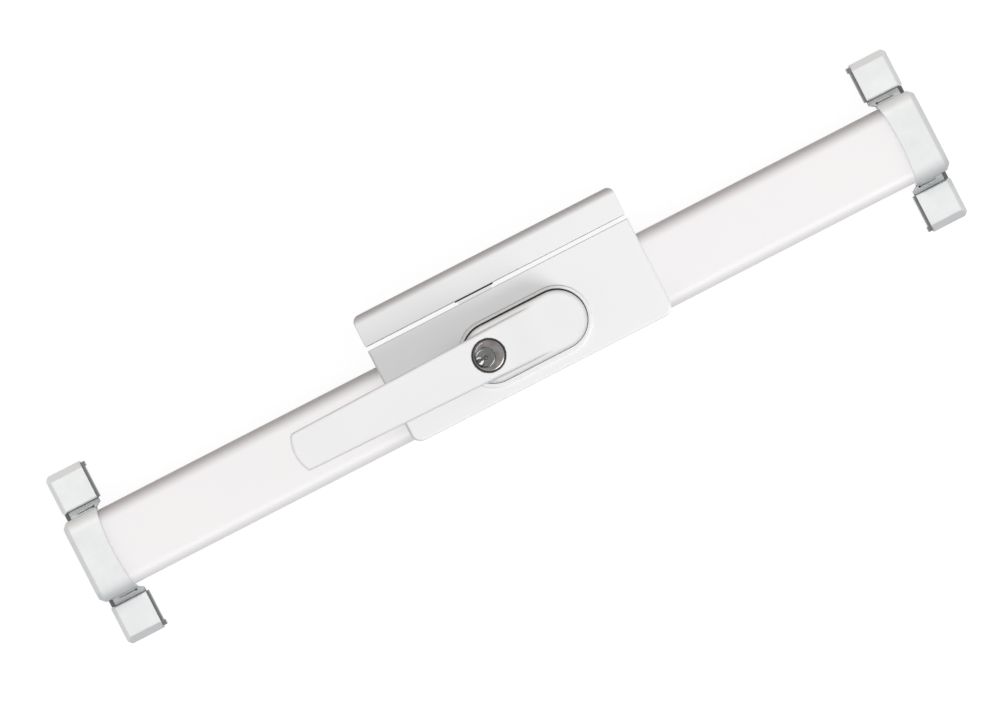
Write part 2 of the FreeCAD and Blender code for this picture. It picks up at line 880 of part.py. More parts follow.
def front_bush():
    """Bush in the case front, with two notches for the lock slide."""
    low = case_front_inside - front_bush_projection
    flange_top = plinth_top + notch_flange_height
    pieces = [
        disc(front_bush_radius, (low, plinth_top)),
        disc(notch_flange_radius, (plinth_top, flange_top)),
    ]
    solid = joined(pieces)
    cuts = [disc(handle_neck_radius + running_gap, (low - through, flange_top + through))]
    notch = block(
        (-notch_flange_radius - through, notch_depth - notch_flange_radius),
        (-notch_width / 2, notch_width / 2),
        (plinth_top, flange_top + through),
    )
    for angle in (0, handle_turn):
        cuts.append(turned(notch, angle))
    return solid.cut(cuts)


def slide_washer():
    """Thin dark washer that shows as a line round the handle's head."""
    levels = (plinth_top, head_bottom)
    plate = head_oval(head_radius + washer_overhang, levels)
    plate.translate(Vector(0, washer_shift, 0))
    return plate.cut(disc(notch_flange_radius + slide_gap, (plinth_top - through, head_bottom + through)))


def cylinder_housing():
    """Body of the key cylinder: a rim round a sunk face, with the plug's bore beside its centre."""
    centre = (cylinder_x, 0)
    top = lever_top - cylinder_recess
    body = disc(cylinder_radius, (cylinder_bottom, top), centre)
    edge = edges_where(body, lambda c: near(c.z, top))
    body = body.makeChamfer(cylinder_chamfer, edge)
    face = disc(cylinder_radius - cylinder_rim, (top - cylinder_step, top + through), centre)
    bore = disc(plug_radius + running_gap, (cylinder_bottom - through, top + through), (plug_x, 0))
    return body.cut([face, bore])


def cam_pin_centre():
    """Centre of the cam pin with the slide drawn back."""
    offset = cam_radius / math.sqrt(2)
    return plug_x - offset, -offset


def key_plug():
    """Turning plug with its keyway and the cam pin behind."""
    top = lever_top - cylinder_recess - cylinder_step - plug_recess
    body = disc(plug_radius, (cylinder_bottom, top), (plug_x, 0))
    pin = disc(cam_pin_radius, (slide_bottom, cylinder_bottom), cam_pin_centre())
    solid = joined([body, pin])
    slot = block(
        (plug_x - plug_radius, plug_x + keyway_inner_end),
        (-keyway_width / 2, keyway_width / 2),
        (top - keyway_depth, top + through),
    )
    mouth = Part.makeCone(
        keyway_width / 2,
        keyway_funnel_radius,
        keyway_funnel_depth,
        Vector(plug_x - plug_radius / 2, 0, top - keyway_funnel_depth),
    )
    return solid.cut([slot, mouth])


def lock_slide():
    """Slide that the cam pushes into a notch of the bush, shown drawn back."""
    front_x = slide_back_x + slide_length
    nose_x = -notch_flange_radius - slide_nose_clearance
    half = slide_width / 2
    levels = (slide_bottom, slide_top)
    plate = block((slide_back_x, front_x), (-half, half), levels)
    nose_half = slide_nose_width / 2
    nose = block((front_x, nose_x), (-nose_half, nose_half), levels)
    pin_x, pin_y = cam_pin_centre()
    reach = cam_pin_radius + cam_clearance
    slot = block(
        (pin_x - reach, pin_x + reach),
        (-cam_radius - reach, pin_y + reach),
        (slide_bottom - through, slide_top + through),
    )
    return joined([plate, nose]).cut(slot)


def strike_screw(side, grow):
    """One screw through the end of the strike cover into the bracket."""
    end = case_left if side < 0 else case_right
    screw_y = strike_outer - strike_wall - strike_tab_width * 0.75
    point = Vector(side * end, screw_y, lug_height - lug_width / 2)
    length = strike_wall + lug_thickness + grow
    return countersunk(point, Vector(-side, 0, 0), screw_radius + grow, length)


def strike_form(inset, thickness, low):
    """Outer form of the strike made smaller all round, with radii for that much less thickness."""
    x_range = (inset - case_left, case_right - inset)
    y_range = (strike_inner + inset, strike_outer - inset)
    top = case_depth - inset
    form = block(x_range, y_range, (low, top))
    front = edges_where(form, lambda c: near(c.y, y_range[1]) and near(c.z, top))
    form = form.makeFillet(strike_front_radius - thickness, front)
    plan = block(x_range, y_range, (low, top))
    corners = edges_where(plan, lambda c: near(c.y, y_range[1]) and near(c.z, (low + top) / 2))
    plan = plan.makeFillet(strike_corner_radius - thickness, corners)
    return form.common(plan)


def strike_cavity(gap):
    """Space inside the strike cover, made smaller by a gap all round."""
    return strike_form(strike_wall + gap, strike_wall, -through)


def keeper_sizes():
    """Half length, bottom and top of the keeper's outline."""
    half = bolt_width / 2 + tongue_clearance + keeper_rim
    bottom = bolt_bottom - tongue_clearance - keeper_sill
    top = bolt_top + tongue_clearance + keeper_sill
    return half, bottom, top


def keeper_block(y_range, grow):
    """Outer form of the keeper, or with growth the hole for it."""
    half, bottom, top = keeper_sizes()
    x_range = (bolt_centre_x - half - grow, bolt_centre_x + half + grow)
    return block(x_range, y_range, (bottom - grow, top + grow))


def strike_bracket():
    """Folded steel: base, upstand with the bolt mouth, and two end tabs."""
    cavity = strike_cavity(seat_gap)
    inner_y = strike_inner + strike_wall
    half = keeper_sizes()[0] + strike_upstand_margin
    base = block((-case_left, case_right), (inner_y, strike_outer), (0, base_thickness))
    upstand = block(
        (bolt_centre_x - half, bolt_centre_x + half),
        (inner_y, inner_y + seat_gap + bracket_thickness),
        (0, strike_upstand_height),
    )
    pieces = [base, upstand]
    for side in (-1, 1):
        end = case_left if side < 0 else case_right
        outer_x = side * (end - strike_wall)
        inner_x = side * (end - strike_wall - seat_gap - lug_thickness)
        x_range = (min(outer_x, inner_x), max(outer_x, inner_x))
        tab_y = strike_outer - strike_wall - lug_thickness
        y_range = (tab_y - strike_tab_width, tab_y)
        pieces.append(block(x_range, y_range, (0, lug_height)))
    solid = joined(pieces).common(cavity)
    cuts = [keeper_block((strike_inner, strike_outer), seat_gap)]
    for sign in (-1, 1):
        point = Vector(sign * strike_hole_spacing / 2, strike_hole_y(), base_thickness)
        length = base_thickness + through
        cuts.append(countersunk(point, Vector(0, 0, -1), anchor_hole_radius, length))
    for side in (-1, 1):
        cuts.append(strike_screw(side, seat_gap))
    return solid.cut(cuts)


def strike_hole_y():
    """Line of the strike's fixing holes."""
    return strike_inner + strike_width / 2 + lug_thickness / 2


def strike_keeper():
    """Steel frame round the bolt mouth, with a thin lip towards the case."""
    y_range = (strike_inner - keeper_lip, strike_inner + strike_wall + seat_gap + bracket_thickness)
    body = keeper_block(y_range, 0)
    mouth = bolt_window((y_range[0] - through, y_range[1] + through), tongue_clearance)
    return body.cut(mouth)


def strike_cover():
    """White shell of the middle strike."""
    shell = strike_form(0, 0, 0)
    keeper_room = keeper_block((strike_inner - through, strike_outer - strike_wall - through), seat_gap)
    cuts = [strike_cavity(0), keeper_room]
    for side in (-1, 1):
        cuts.append(strike_screw(side, seat_gap))
    return shell.cut(cuts)


def strike_screws():
    """Two screws of the strike cover."""
    return Part.makeCompound([strike_screw(side, 0) for side in (-1, 1)])


def bracket_top():
    """Top of the end bracket, just over the bar."""
    return bar_top + seat_gap * 12


def bracket_wing(reach, inner_x):
    """Neck, screw plate, upright flange and lip of the bracket on the upper side."""
    root_y = bracket_half_width - bracket_thickness
    neck = prism(
        [
            (inner_x, root_y),
            (reach - wing_neck_offset, root_y),
            (reach - wing_neck_offset, wing_start - slide_gap),
            (reach - wing_outer_offset, wing_start - slide_gap),
            (reach - wing_outer_offset, wing_start + through),
            (reach - cap_inner_offset, wing_start + through),
            (reach - cap_inner_offset, ledge_flare_end),
            (reach - hood_length - hood_flare, ledge_flare_start),
            (inner_x, ledge_flare_start),
        ],
        (0, wing_thickness),
    )
    inner = reach - wing_inner_offset
    flange_face = reach - cap_inner_offset - seat_gap
    plate_end = cap_end - cap_wall - seat_gap
    pieces = [
        neck,
        block((inner, reach - wing_outer_offset), (wing_start, plate_end), (0, wing_thickness)),
        block((inner, flange_face), (wing_start, flange_end), (0, flange_height)),
        block((inner - flange_lip_width, flange_face), (flange_end - flange_lip_length, flange_end),
              (0, flange_height)),
    ]
    return joined(pieces)


def end_bracket(reach):
    """Folded steel hat over the tongue, with a wing on each side, for the right end."""
    inner_x = reach - hood_length + bar_entry + tongue_plate + 2 * tongue_clearance
    outer_x = reach - bracket_inset
    x_range = (inner_x, outer_x)
    top = bracket_top()
    hat = rounded_length(x_range, bracket_half_width, (0, top), bracket_bend_radius)
    room = rounded_length(
        (inner_x - through, outer_x + through),
        bracket_half_width - bracket_thickness,
        (-through, top - bracket_thickness),
        bracket_bend_radius - bracket_thickness,
    )
    hat = hat.cut(room)
    wing = bracket_wing(reach, inner_x)
    solid = joined([hat, wing, wing.mirror(Vector(0, 0, 0), Vector(0, 1, 0))])
    cuts = []
    for x_sign in (-1, 1):
        for y_sign in (-1, 1):
            x = reach - wing_hole_offset + x_sign * wing_hole_spacing_x / 2
            point = Vector(x, y_sign * wing_hole_y, wing_thickness)
            length = wing_thickness + through
            cuts.append(countersunk(point, Vector(0, 0, -1), wing_hole_radius, length))
    return solid.cut(cuts)


def hood_ledge(reach):
    """Low sloped ledge of the hood over the bracket's neck on the upper side, with a short slit."""
    flank_x = reach - hood_length - hood_flare
    bottom = wing_thickness + slide_gap
    plan = prism(
        [
            (flank_x + slide_gap, ledge_start),
            (reach - ledge_outer_offset, ledge_start),
            (reach - ledge_outer_offset, ledge_end),
            (reach - ledge_inner_offset, ledge_end),
            (reach - ledge_inner_offset, ledge_flare_end),
            (flank_x, ledge_flare_start),
        ],
        (bottom, ledge_root_height),
    )
    section = [
        Vector(flank_x - ledge_inner_offset, ledge_start, bottom),
        Vector(flank_x - ledge_inner_offset, ledge_end, bottom),
        Vector(flank_x - ledge_inner_offset, ledge_end, ledge_foot_height),
        Vector(flank_x - ledge_inner_offset, ledge_start, ledge_root_height),
    ]
    outline = Part.makePolygon(section + section[:1])
    slope = Part.Face(outline).extrude(Vector(2 * ledge_inner_offset + hood_length, 0, 0))
    slit_y = hood_half_width + slit_offset
    slit_levels = (ledge_root_height - slit_depth, ledge_root_height + through)
    eye_centre = (flank_x + slit_eye_radius * 2, slit_y + slit_width / 2)
    cuts = [
        block((eye_centre[0], flank_x + slit_length), (slit_y, slit_y + slit_width), slit_levels),
        disc(slit_eye_radius, slit_levels, eye_centre),
    ]
    return plan.common(slope).cut(cuts)


def end_hood(reach):
    """White hood over the bracket, with a flared and hollowed inner edge."""
    inner_x = reach - hood_length
    top = bracket_top() + hood_top_wall
    outer = rounded_length((inner_x - hood_flare, reach), hood_half_width, (0, top), hood_edge_radius)
    rim = edges_where(outer, lambda c: near(c.x, reach) and c.z > 1)
    outer = outer.makeChamfer(hood_bevel, rim)
    arc_radius = (hood_half_width ** 2 + hood_flare ** 2) / (2 * hood_flare)
    edge_cut = disc(arc_radius, (-through, top + through), (inner_x - arc_radius, 0))
    mouth_end = inner_x + bar_entry + tongue_plate + tongue_clearance
    mouth = bar_slot((inner_x - hood_flare - through, mouth_end), -through, hood_mouth_gap)
    room = rounded_length(
        (mouth_end - through, reach - bracket_inset + seat_gap),
        hood_half_width - bracket_thickness + 0.3,
        (-through, bracket_top()),
        bracket_bend_radius,
    )
    cuts = [edge_cut, mouth, room]
    slot_x = (mouth_end + tongue_clearance - slide_gap, reach - wing_neck_offset + slide_gap)
    slot_y = (-hood_half_width - through, hood_half_width + through)
    cuts.append(block(slot_x, slot_y, (-through, wing_thickness + slide_gap)))
    ledge = hood_ledge(reach)
    return joined([outer.cut(cuts), ledge, ledge.mirror(Vector(0, 0, 0), Vector(0, 1, 0))])


def end_cap(reach, sign):
    """White cap over the screws of one wing."""
    x_range = (reach - cap_inner_offset, reach - cap_outer_offset)
    body = block(x_range, (wing_start, cap_end), (0, cap_height))
    corner = edges_where(body, lambda c: near(c.x, x_range[1]) and near(c.y, cap_end))
    body = body.makeChamfer(cap_corner, corner)
    fold = edges_where(body, lambda c: near(c.y, wing_start) and near(c.z, cap_height))
    body = body.makeFillet(cap_edge_radius, fold)
    side_cut = side_prism(
        [
            (x_range[1] - cap_side_bevel, cap_height),
            (x_range[1] + cap_side_bevel, cap_height + through),
            (x_range[1] + cap_side_bevel, cap_height - 2 * cap_side_fall),
        ],
        (wing_start - through, cap_end + through),
    )
    end_points = [
        Vector(x_range[0] - through, cap_end - cap_end_bevel, cap_height),
        Vector(x_range[0] - through, cap_end + cap_end_bevel, cap_height + through),
        Vector(x_range[0] - through, cap_end + cap_end_bevel, cap_height - 2 * cap_end_fall),
    ]
    outline = Part.makePolygon(end_points + end_points[:1])
    end_cut = Part.Face(outline).extrude(Vector(x_range[1] - x_range[0] + 2 * through, 0, 0))
    hollow = block(
        (x_range[0] + cap_wall, x_range[1] - cap_side_bevel),
        (wing_start + cap_wall, cap_end - cap_end_bevel * 0.7),
        (0, cap_height - cap_side_bevel),
    )
    seat = block(
        (reach - wing_inner_offset - through, reach - wing_outer_offset + seat_gap),
        (wing_start - through, cap_end - cap_wall),
        (-through, wing_thickness + seat_gap),
    )
    solid = body.cut([side_cut, end_cut, hollow, seat])
    if sign > 0:
        return solid
    return solid.mirror(Vector(0, 0, 0), Vector(0, 1, 0))


def build_nodes():
    """Every node of the lock by name."""
    nodes = {
        "base_plate": base_plate(),
        "case_cover": case_cover(),
        "case_cover_screws": cover_screws(),
        "bar_guide_left": bar_guide(-1),
        "bar_guide_right": bar_guide(1),
        "bolt_guide": bolt_guide(),
        "bolt_guide_screws": bolt_guide_screws(),
        "rear_bush": rear_bush(),
        "front_bush": front_bush(),
        "strike_bracket": strike_bracket(),
        "strike_keeper": strike_keeper(),
        "strike_cover": strike_cover(),
        "strike_cover_screws": strike_screws(),
        "middle_bolt": middle_bolt(),
        "handle_lever": handle_lever(),
        "slide_washer": slide_washer(),
        "spring_washer": spring_washer(),
        "retaining_ring": retaining_ring(),
        "drive_shaft": drive_shaft(),
        "bar_pinion": bar_pinion(),
        "cylinder_housing": cylinder_housing(),
        "key_plug": key_plug(),
        "lock_slide": lock_slide(),
    }
    for name, reach, angle in (("right", right_reach, 0), ("left", left_reach, 180)):
        nodes[name + "_bar"] = turned(bar_tube(reach), angle)
        nodes[name + "_rack"] = turned(rack(), angle)
        nodes[name + "_bar_tongue"] = turned(bar_tongue(reach), angle)
        nodes[name + "_bar_rivets"] = turned(bar_rivets(reach), angle)
        nodes[name + "_end_bracket"] = turned(end_bracket(reach), angle)
        nodes[name + "_end_hood"] = turned(end_hood(reach), angle)
        upper_sign = 1 if angle == 0 else -1
        nodes[name + "_end_cap_upper"] = turned(end_cap(reach, upper_sign), angle)
        nodes[name + "_end_cap_lower"] = turned(end_cap(reach, -upper_sign), angle)
    return nodes


def main():
    """Write one STEP file for each node."""
    os.makedirs("parts", exist_ok=True)
    for name, shape in build_nodes().items():
        if not shape.isValid():
            print("invalid", name)
        shape.exportStep(os.path.join("parts", name + ".step"))
        print(name, len(shape.Solids), round(shape.Volume, 1))


main()
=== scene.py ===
"""Looks of a white window bar lock: its finishes, softened edges, floor, lamps and camera."""

import json
import logging
import math
from dataclasses import dataclass
from enum import Enum

import bmesh
import bpy
from mathutils import Matrix, Vector

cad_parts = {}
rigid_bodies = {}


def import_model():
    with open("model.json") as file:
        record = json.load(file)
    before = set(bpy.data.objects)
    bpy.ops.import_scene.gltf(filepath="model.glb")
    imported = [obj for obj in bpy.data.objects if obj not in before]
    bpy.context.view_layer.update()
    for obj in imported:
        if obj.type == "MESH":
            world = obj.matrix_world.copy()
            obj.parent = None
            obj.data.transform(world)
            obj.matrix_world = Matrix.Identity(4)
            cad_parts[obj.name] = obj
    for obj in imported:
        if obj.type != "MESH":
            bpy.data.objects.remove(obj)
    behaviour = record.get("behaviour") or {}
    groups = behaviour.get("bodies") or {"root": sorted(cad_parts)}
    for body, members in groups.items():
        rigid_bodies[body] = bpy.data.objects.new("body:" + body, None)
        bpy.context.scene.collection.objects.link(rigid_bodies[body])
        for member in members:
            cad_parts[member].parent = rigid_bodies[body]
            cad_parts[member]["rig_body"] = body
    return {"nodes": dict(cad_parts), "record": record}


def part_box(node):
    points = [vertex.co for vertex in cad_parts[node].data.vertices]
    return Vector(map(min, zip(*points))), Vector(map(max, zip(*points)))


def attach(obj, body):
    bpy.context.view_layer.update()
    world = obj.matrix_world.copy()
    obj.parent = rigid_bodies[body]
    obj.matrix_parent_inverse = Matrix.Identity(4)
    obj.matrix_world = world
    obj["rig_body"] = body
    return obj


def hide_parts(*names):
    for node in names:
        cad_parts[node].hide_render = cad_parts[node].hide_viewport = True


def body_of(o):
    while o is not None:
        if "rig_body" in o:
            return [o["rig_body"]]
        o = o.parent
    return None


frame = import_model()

LOG = logging.getLogger("bar_lock")
MILLIMETRE = 0.001
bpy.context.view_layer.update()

Colour = tuple[float, float, float]
Point = tuple[float, float, float]
Span = tuple[float, float]
Node = bpy.types.Node
Socket = bpy.types.NodeSocket
Tree = bpy.types.NodeTree
Thing = bpy.types.Object
Form = bmesh.types.BMesh

# A mix node keeps its sockets for colours behind those for numbers and vectors.
COLOUR_MIX_INPUTS = (0, 6, 7)
COLOUR_MIX_OUTPUT = 2


class Slot(Enum):
    """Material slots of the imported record."""

    COVER = "white_cover"
    BAR = "white_bar"
    HANDLE = "white_handle"
    END_PIECE = "white_end_piece"
    PLATED = "plated_steel"
    BOLT = "bolt_steel"
    NYLON = "nylon"
    BUSH = "bush_metal"
    WASHER = "dark_washer"
    NICKEL = "nickel"
    PLUG = "plug_metal"
    SLIDE = "slide_brass"


class Graph:
    """Adds and joins the nodes of one tree."""

    def __init__(self, tree: Tree) -> None:
        """Start on an emptied tree."""
        self.tree = tree
        tree.nodes.clear()

    def add(self, kind: str, **settings: object) -> Node:
        """Add a node.

        Args:
            kind: The node's type name.
            settings: Properties of the node.

        Returns:
            The new node.
        """
        node = self.tree.nodes.new(kind)
        for name, value in settings.items():
            setattr(node, name, value)
        return node

    def join(self, source: Socket, target: Socket) -> None:
        """Link one socket to another."""
        self.tree.links.new(source, target)

    def feed(self, node: Node, **values: object) -> Node:
        """Set or link a node's inputs by name, with underscores for spaces.

        Args:
            node: The node whose inputs are fed.
            values: A number, a tuple or an output socket for each input.

        Returns:
            The same node.
        """
        for name, value in values.items():
            self.give(node.inputs[name.replace("_", " ")], value)
        return node

    def fed(self, kind: str, **values: object) -> Socket:
        """Add a node, feed its inputs by name and give its first output."""
        return self.feed(self.add(kind), **values).outputs[0]

    def give(self, socket: Socket, value: object) -> None:
        """Set an input socket, or link it.

        Args:
            socket: The input.
            value: A number, a colour, or the output socket to link.
        """
        if isinstance(value, Socket):
            self.join(value, socket)
        elif isinstance(value, tuple):
            socket.default_value = (*value, 1.0)
        else:
            socket.default_value = value

    def math(self, operation: str, *terms: object) -> Socket:
        """Add a maths node.

        Args:
            operation: The node's operation.
            terms: Its numbers or sockets, in order.

        Returns:
            The result's socket.
        """
        node = self.add("ShaderNodeMath", operation=operation)
        for socket, value in zip(node.inputs, terms):
            self.give(socket, value)
        return node.outputs[0]

    def blend(self, factor: object, first: object, second: object) -> Socket:
        """Mix two colours.

        Args:
            factor: The share of the second colour, a number or a socket.
            first: Colour or socket.
            second: Colour or socket.

        Returns:
            The mixed colour's socket.
        """
        node = self.add("ShaderNodeMix", data_type="RGBA")
        for index, value in zip(COLOUR_MIX_INPUTS, (factor, first, second)):
            self.give(node.inputs[index], value)
        return node.outputs[COLOUR_MIX_OUTPUT]

    def mix(self, *parts: Socket) -> Socket:
        """Mix two shaders.

        Args:
            parts: The share of the second shader, the first shader and the second shader.

        Returns:
            The mixed shader's socket.
        """
        node = self.add("ShaderNodeMixShader")
        for socket, part in zip(node.inputs, parts):
            self.join(part, socket)
        return node.outputs[0]

    def ramp(self, value: Socket, low: object, high: object) -> Socket:
        """Stretch a value so that low gives 0 and high gives 1, clamped."""
        node = self.add("ShaderNodeMapRange", clamp=True)
        return self.feed(node, Value=value, From_Min=low, From_Max=high).outputs[0]

    def place(self) -> Socket:
        """Give the place of a point in its piece's own space."""
        return self.add("ShaderNodeTexCoord").outputs["Object"]

    def noise(self, place: Socket, size_mm: Socket, detail: float, roughness: float = 0.5) -> Socket:
        """Add noise by the size of its largest spots, with finer layers as detail and roughness say."""
        scale = self.math("DIVIDE", 1 / MILLIMETRE, size_mm)
        return self.fed("ShaderNodeTexNoise", Vector=place, Scale=scale, Detail=detail, Roughness=roughness)

    def group(self, tree: Tree, **values: object) -> Node:
        """Add a shared group and feed its inputs."""
        return self.feed(self.add("ShaderNodeGroup", node_tree=tree), **values)


def shared_group(name: str, inputs: dict[str, float], outputs: dict[str, str]) -> tuple[Graph, Node, Node]:
    """Start a shader node group with named sockets.

    Args:
        name: The group's name.
        inputs: Name and default of each number that goes in.
        outputs: Name and socket type of each value that comes out.

    Returns:
        The graph, the group's input node and its output node.
    """
    tree = bpy.data.node_groups.new(name, "ShaderNodeTree")
    graph = Graph(tree)
    for label, default in inputs.items():
        socket = tree.interface.new_socket(label, in_out="INPUT", socket_type="NodeSocketFloat")
        socket.default_value = default
    for label, kind in outputs.items():
        tree.interface.new_socket(label, in_out="OUTPUT", socket_type=kind)
    return graph, graph.add("NodeGroupInput"), graph.add("NodeGroupOutput")


class Effects:
    """Shader node groups that several finishes share."""

    GRAIN_ROUGHNESS = 0.45
    DRIFT_ROUGHNESS = 0.55
    FLECK_SPAN: Span = (0.62, 0.74)
    DRIFT_SPAN: Span = (0.3, 0.7)
    EDGE_SPAN: Span = (0.02, 0.2)
    BREAKUP_SPAN: Span = (0.35, 0.65)

    def __init__(self) -> None:
        """Build every group once."""
        self.coat = self.coat_grain()
        self.drift = self.tone_drift()
        self.brushed = self.brushed_lines()
        self.edges = self.worn_edges()
        self.turned = self.turned_faces()

    def coat_grain(self) -> Tree:
        """Fine orange peel of a powder coat or a moulded skin.

        Returns:
            The group, which puts out a height and a fleck mask.
        """
        graph, given, out = shared_group(
            "coat_grain",
            {"Grain mm": 0.9, "Wave mm": 6.0, "Wave share": 0.5},
            {"Height": "NodeSocketFloat", "Flecks": "NodeSocketFloat"},
        )
        place, roughness = graph.place(), self.GRAIN_ROUGHNESS
        grain = graph.noise(place, given.outputs["Grain mm"], detail=2.0, roughness=roughness)
        wave = graph.noise(place, given.outputs["Wave mm"], detail=1.0, roughness=roughness)
        height = graph.math("ADD", grain, graph.math("MULTIPLY", wave, given.outputs["Wave share"]))
        graph.feed(out, Height=height, Flecks=graph.ramp(grain, *self.FLECK_SPAN))
        return graph.tree

    def tone_drift(self) -> Tree:
        """Slow change of tone over a surface.

        Returns:
            The group, which puts out a value from 0 to 1.
        """
        graph, given, out = shared_group("tone_drift", {"Size mm": 40.0}, {"Drift": "NodeSocketFloat"})
        place, roughness = graph.place(), self.DRIFT_ROUGHNESS
        drift = graph.noise(place, given.outputs["Size mm"], detail=3.0, roughness=roughness)
        graph.feed(out, Drift=graph.ramp(drift, *self.DRIFT_SPAN))
        return graph.tree

    def brushed_lines(self) -> Tree:
        """Fine lines along X, as rolling and grinding leave them.

        Returns:
            The group, which puts out a value from 0 to 1.
        """
        graph, given, out = shared_group(
            "brushed_lines", {"Line mm": 0.25, "Stretch": 40.0}, {"Lines": "NodeSocketFloat"}
        )
        squeeze = graph.math("DIVIDE", 1.0, given.outputs["Stretch"])
        scales = graph.fed("ShaderNodeCombineXYZ", X=squeeze, Y=1.0, Z=1.0)
        place = graph.fed("ShaderNodeMapping", Vector=graph.place(), Scale=scales)
        graph.feed(out, Lines=graph.noise(place, given.outputs["Line mm"], detail=2.0))
        return graph.tree

    def worn_edges(self) -> Tree:
        """Mask of the outer edges, broken up by noise.

        Returns:
            The group, which puts out a mask and a normal with rounded edges.
        """
        graph, given, out = shared_group(
            "worn_edges",
            {"Radius mm": 0.4, "Breakup mm": 3.0},
            {"Mask": "NodeSocketFloat", "Normal": "NodeSocketVector"},
        )
        radius = graph.math("MULTIPLY", given.outputs["Radius mm"], MILLIMETRE)
        rounded = graph.feed(graph.add("ShaderNodeBevel", samples=4), Radius=radius).outputs[0]
        dot = graph.add("ShaderNodeVectorMath", operation="DOT_PRODUCT")
        graph.join(rounded, dot.inputs[0])
        graph.join(graph.add("ShaderNodeNewGeometry").outputs["Normal"], dot.inputs[1])
        edge = graph.ramp(graph.math("SUBTRACT", 1.0, dot.outputs["Value"]), *self.EDGE_SPAN)
        noise = graph.noise(graph.place(), given.outputs["Breakup mm"], detail=3.0)
        mask = graph.math("MULTIPLY", edge, graph.ramp(noise, *self.BREAKUP_SPAN))
        graph.feed(out, Mask=mask, Normal=rounded)
        return graph.tree

    def turned_faces(self) -> Tree:
        """Mask that grows as a surface turns away from the front; coated finishes paint shade by it.

        Returns:
            The group, which puts out a value from 0 on a front face to 1 on a side face.
        """
        graph, given, out = shared_group(
            "turned_faces", {"None at": 0.0, "Full at": 0.62}, {"Mask": "NodeSocketFloat"}
        )
        split = graph.add("ShaderNodeSeparateXYZ")
        graph.join(graph.add("ShaderNodeTexCoord").outputs["Normal"], split.inputs[0])
        away = graph.math("MAXIMUM", graph.math("SUBTRACT", 1.0, split.outputs["Z"]), 0.0)
        mask = graph.ramp(graph.math("SQRT", away), given.outputs["None at"], given.outputs["Full at"])
        graph.feed(out, Mask=mask)
        return graph.tree


Start = tuple[bpy.types.Material, Graph, Node, Socket]


@dataclass(frozen=True)
class Finish:
    """What every finish has."""

    name: str
    tone: Colour
    second_tone: Colour
    roughness: float
    drift_mm: float = 40.0

    def start(self, effects: Effects) -> Start:
        """Make the material with its shader and its slow change of tone.

        Args:
            effects: The shared node groups.

        Returns:
            The material, its graph, its shader and the drift value.
        """
        material = bpy.data.materials.new(self.name)
        material.use_nodes = True
        graph = Graph(material.node_tree)
        shader = graph.add("ShaderNodeBsdfPrincipled")
        out = graph.add("ShaderNodeOutputMaterial")
        graph.join(shader.outputs[0], out.inputs["Surface"])
        drift = graph.group(effects.drift, Size_mm=self.drift_mm)
        return material, graph, shader, drift.outputs["Drift"]

    def uneven(self, graph: Graph, value: Socket, spread: float) -> Socket:
        """Let the roughness follow a value, up and down by half a spread."""
        return graph.math("MULTIPLY_ADD", value, spread, self.roughness - spread / 2)

    def relief(self, graph: Graph, height: Socket, normal: Socket, depth_mm: float) -> Socket:
        """Turn a height from 0 to 1 into the normal of a fine relief."""
        depth = depth_mm * MILLIMETRE
        return graph.fed("ShaderNodeBump", Strength=1.0, Distance=depth, Height=height, Normal=normal)

    def build(self, effects: Effects) -> bpy.types.Material:
        """Make the whole material; each kind of finish has its own way."""
        raise NotImplementedError


FLECK_SHADE = 0.8
COAT_SPREAD = 0.08


def shaded(tone: Colour, share: float) -> Colour:
    """Darken a colour to a share of itself."""
    return tuple(channel * share for channel in tone)


@dataclass(frozen=True)
class CoatedFinish(Finish):
    """Powder coat, lacquer or moulded plastic."""

    grain_mm: float = 0.9
    bump_mm: float = 0.01
    fleck_share: float = 0.02
    edge_radius_mm: float = 0.35
    # Painted shade: the base colour grows darker on side faces by this share, from the turn that the start
    # gives.
    side_painted_shade: float = 0.0
    painted_shade_start: float = 0.0

    def build(self, effects: Effects) -> bpy.types.Material:
        """Make the material.

        Args:
            effects: The shared node groups.

        Returns:
            The finished material.
        """
        material, graph, shader, drift = self.start(effects)
        grain = graph.group(effects.coat, Grain_mm=self.grain_mm)
        edges = graph.group(effects.edges, Radius_mm=self.edge_radius_mm)
        turned = graph.group(effects.turned, None_at=self.painted_shade_start)
        flecks = graph.math("MULTIPLY", grain.outputs["Flecks"], self.fleck_share)
        tone = graph.blend(drift, self.tone, self.second_tone)
        tone = graph.blend(flecks, tone, shaded(self.tone, FLECK_SHADE))
        # Side faces get a darker base colour: painted shade where the surface turns away from the front.
        graph.feed(
            shader,
            Base_Color=graph.blend(turned.outputs["Mask"], tone, shaded(self.tone, 1.0 - self.side_painted_shade)),
            Roughness=self.uneven(graph, drift, COAT_SPREAD),
            Normal=self.relief(graph, grain.outputs["Height"], edges.outputs["Normal"], self.bump_mm),
        )
        return material


@dataclass(frozen=True)
class MetalFinish(Finish):
    """Bare, ground or plated metal."""

    bump_mm: float = 0.004
    wear: float = 0.6
    worn_tone: Colour = (0.8, 0.8, 0.8)
    unevenness: float = 0.2

    def build(self, effects: Effects) -> bpy.types.Material:
        """Make the material.

        Args:
            effects: The shared node groups.

        Returns:
            The finished material.
        """
        material, graph, shader, drift = self.start(effects)
        lines = graph.group(effects.brushed).outputs["Lines"]
        edges = graph.group(effects.edges)
        worn = graph.math("MULTIPLY", edges.outputs["Mask"], self.wear)
        tone = graph.blend(drift, self.tone, self.second_tone)
        graph.feed(
            shader,
            Base_Color=graph.blend(worn, tone, self.worn_tone),
            Metallic=1.0,
            Roughness=self.uneven(graph, lines, self.unevenness),
            Normal=self.relief(graph, lines, edges.outputs["Normal"], self.bump_mm),
        )
        return material
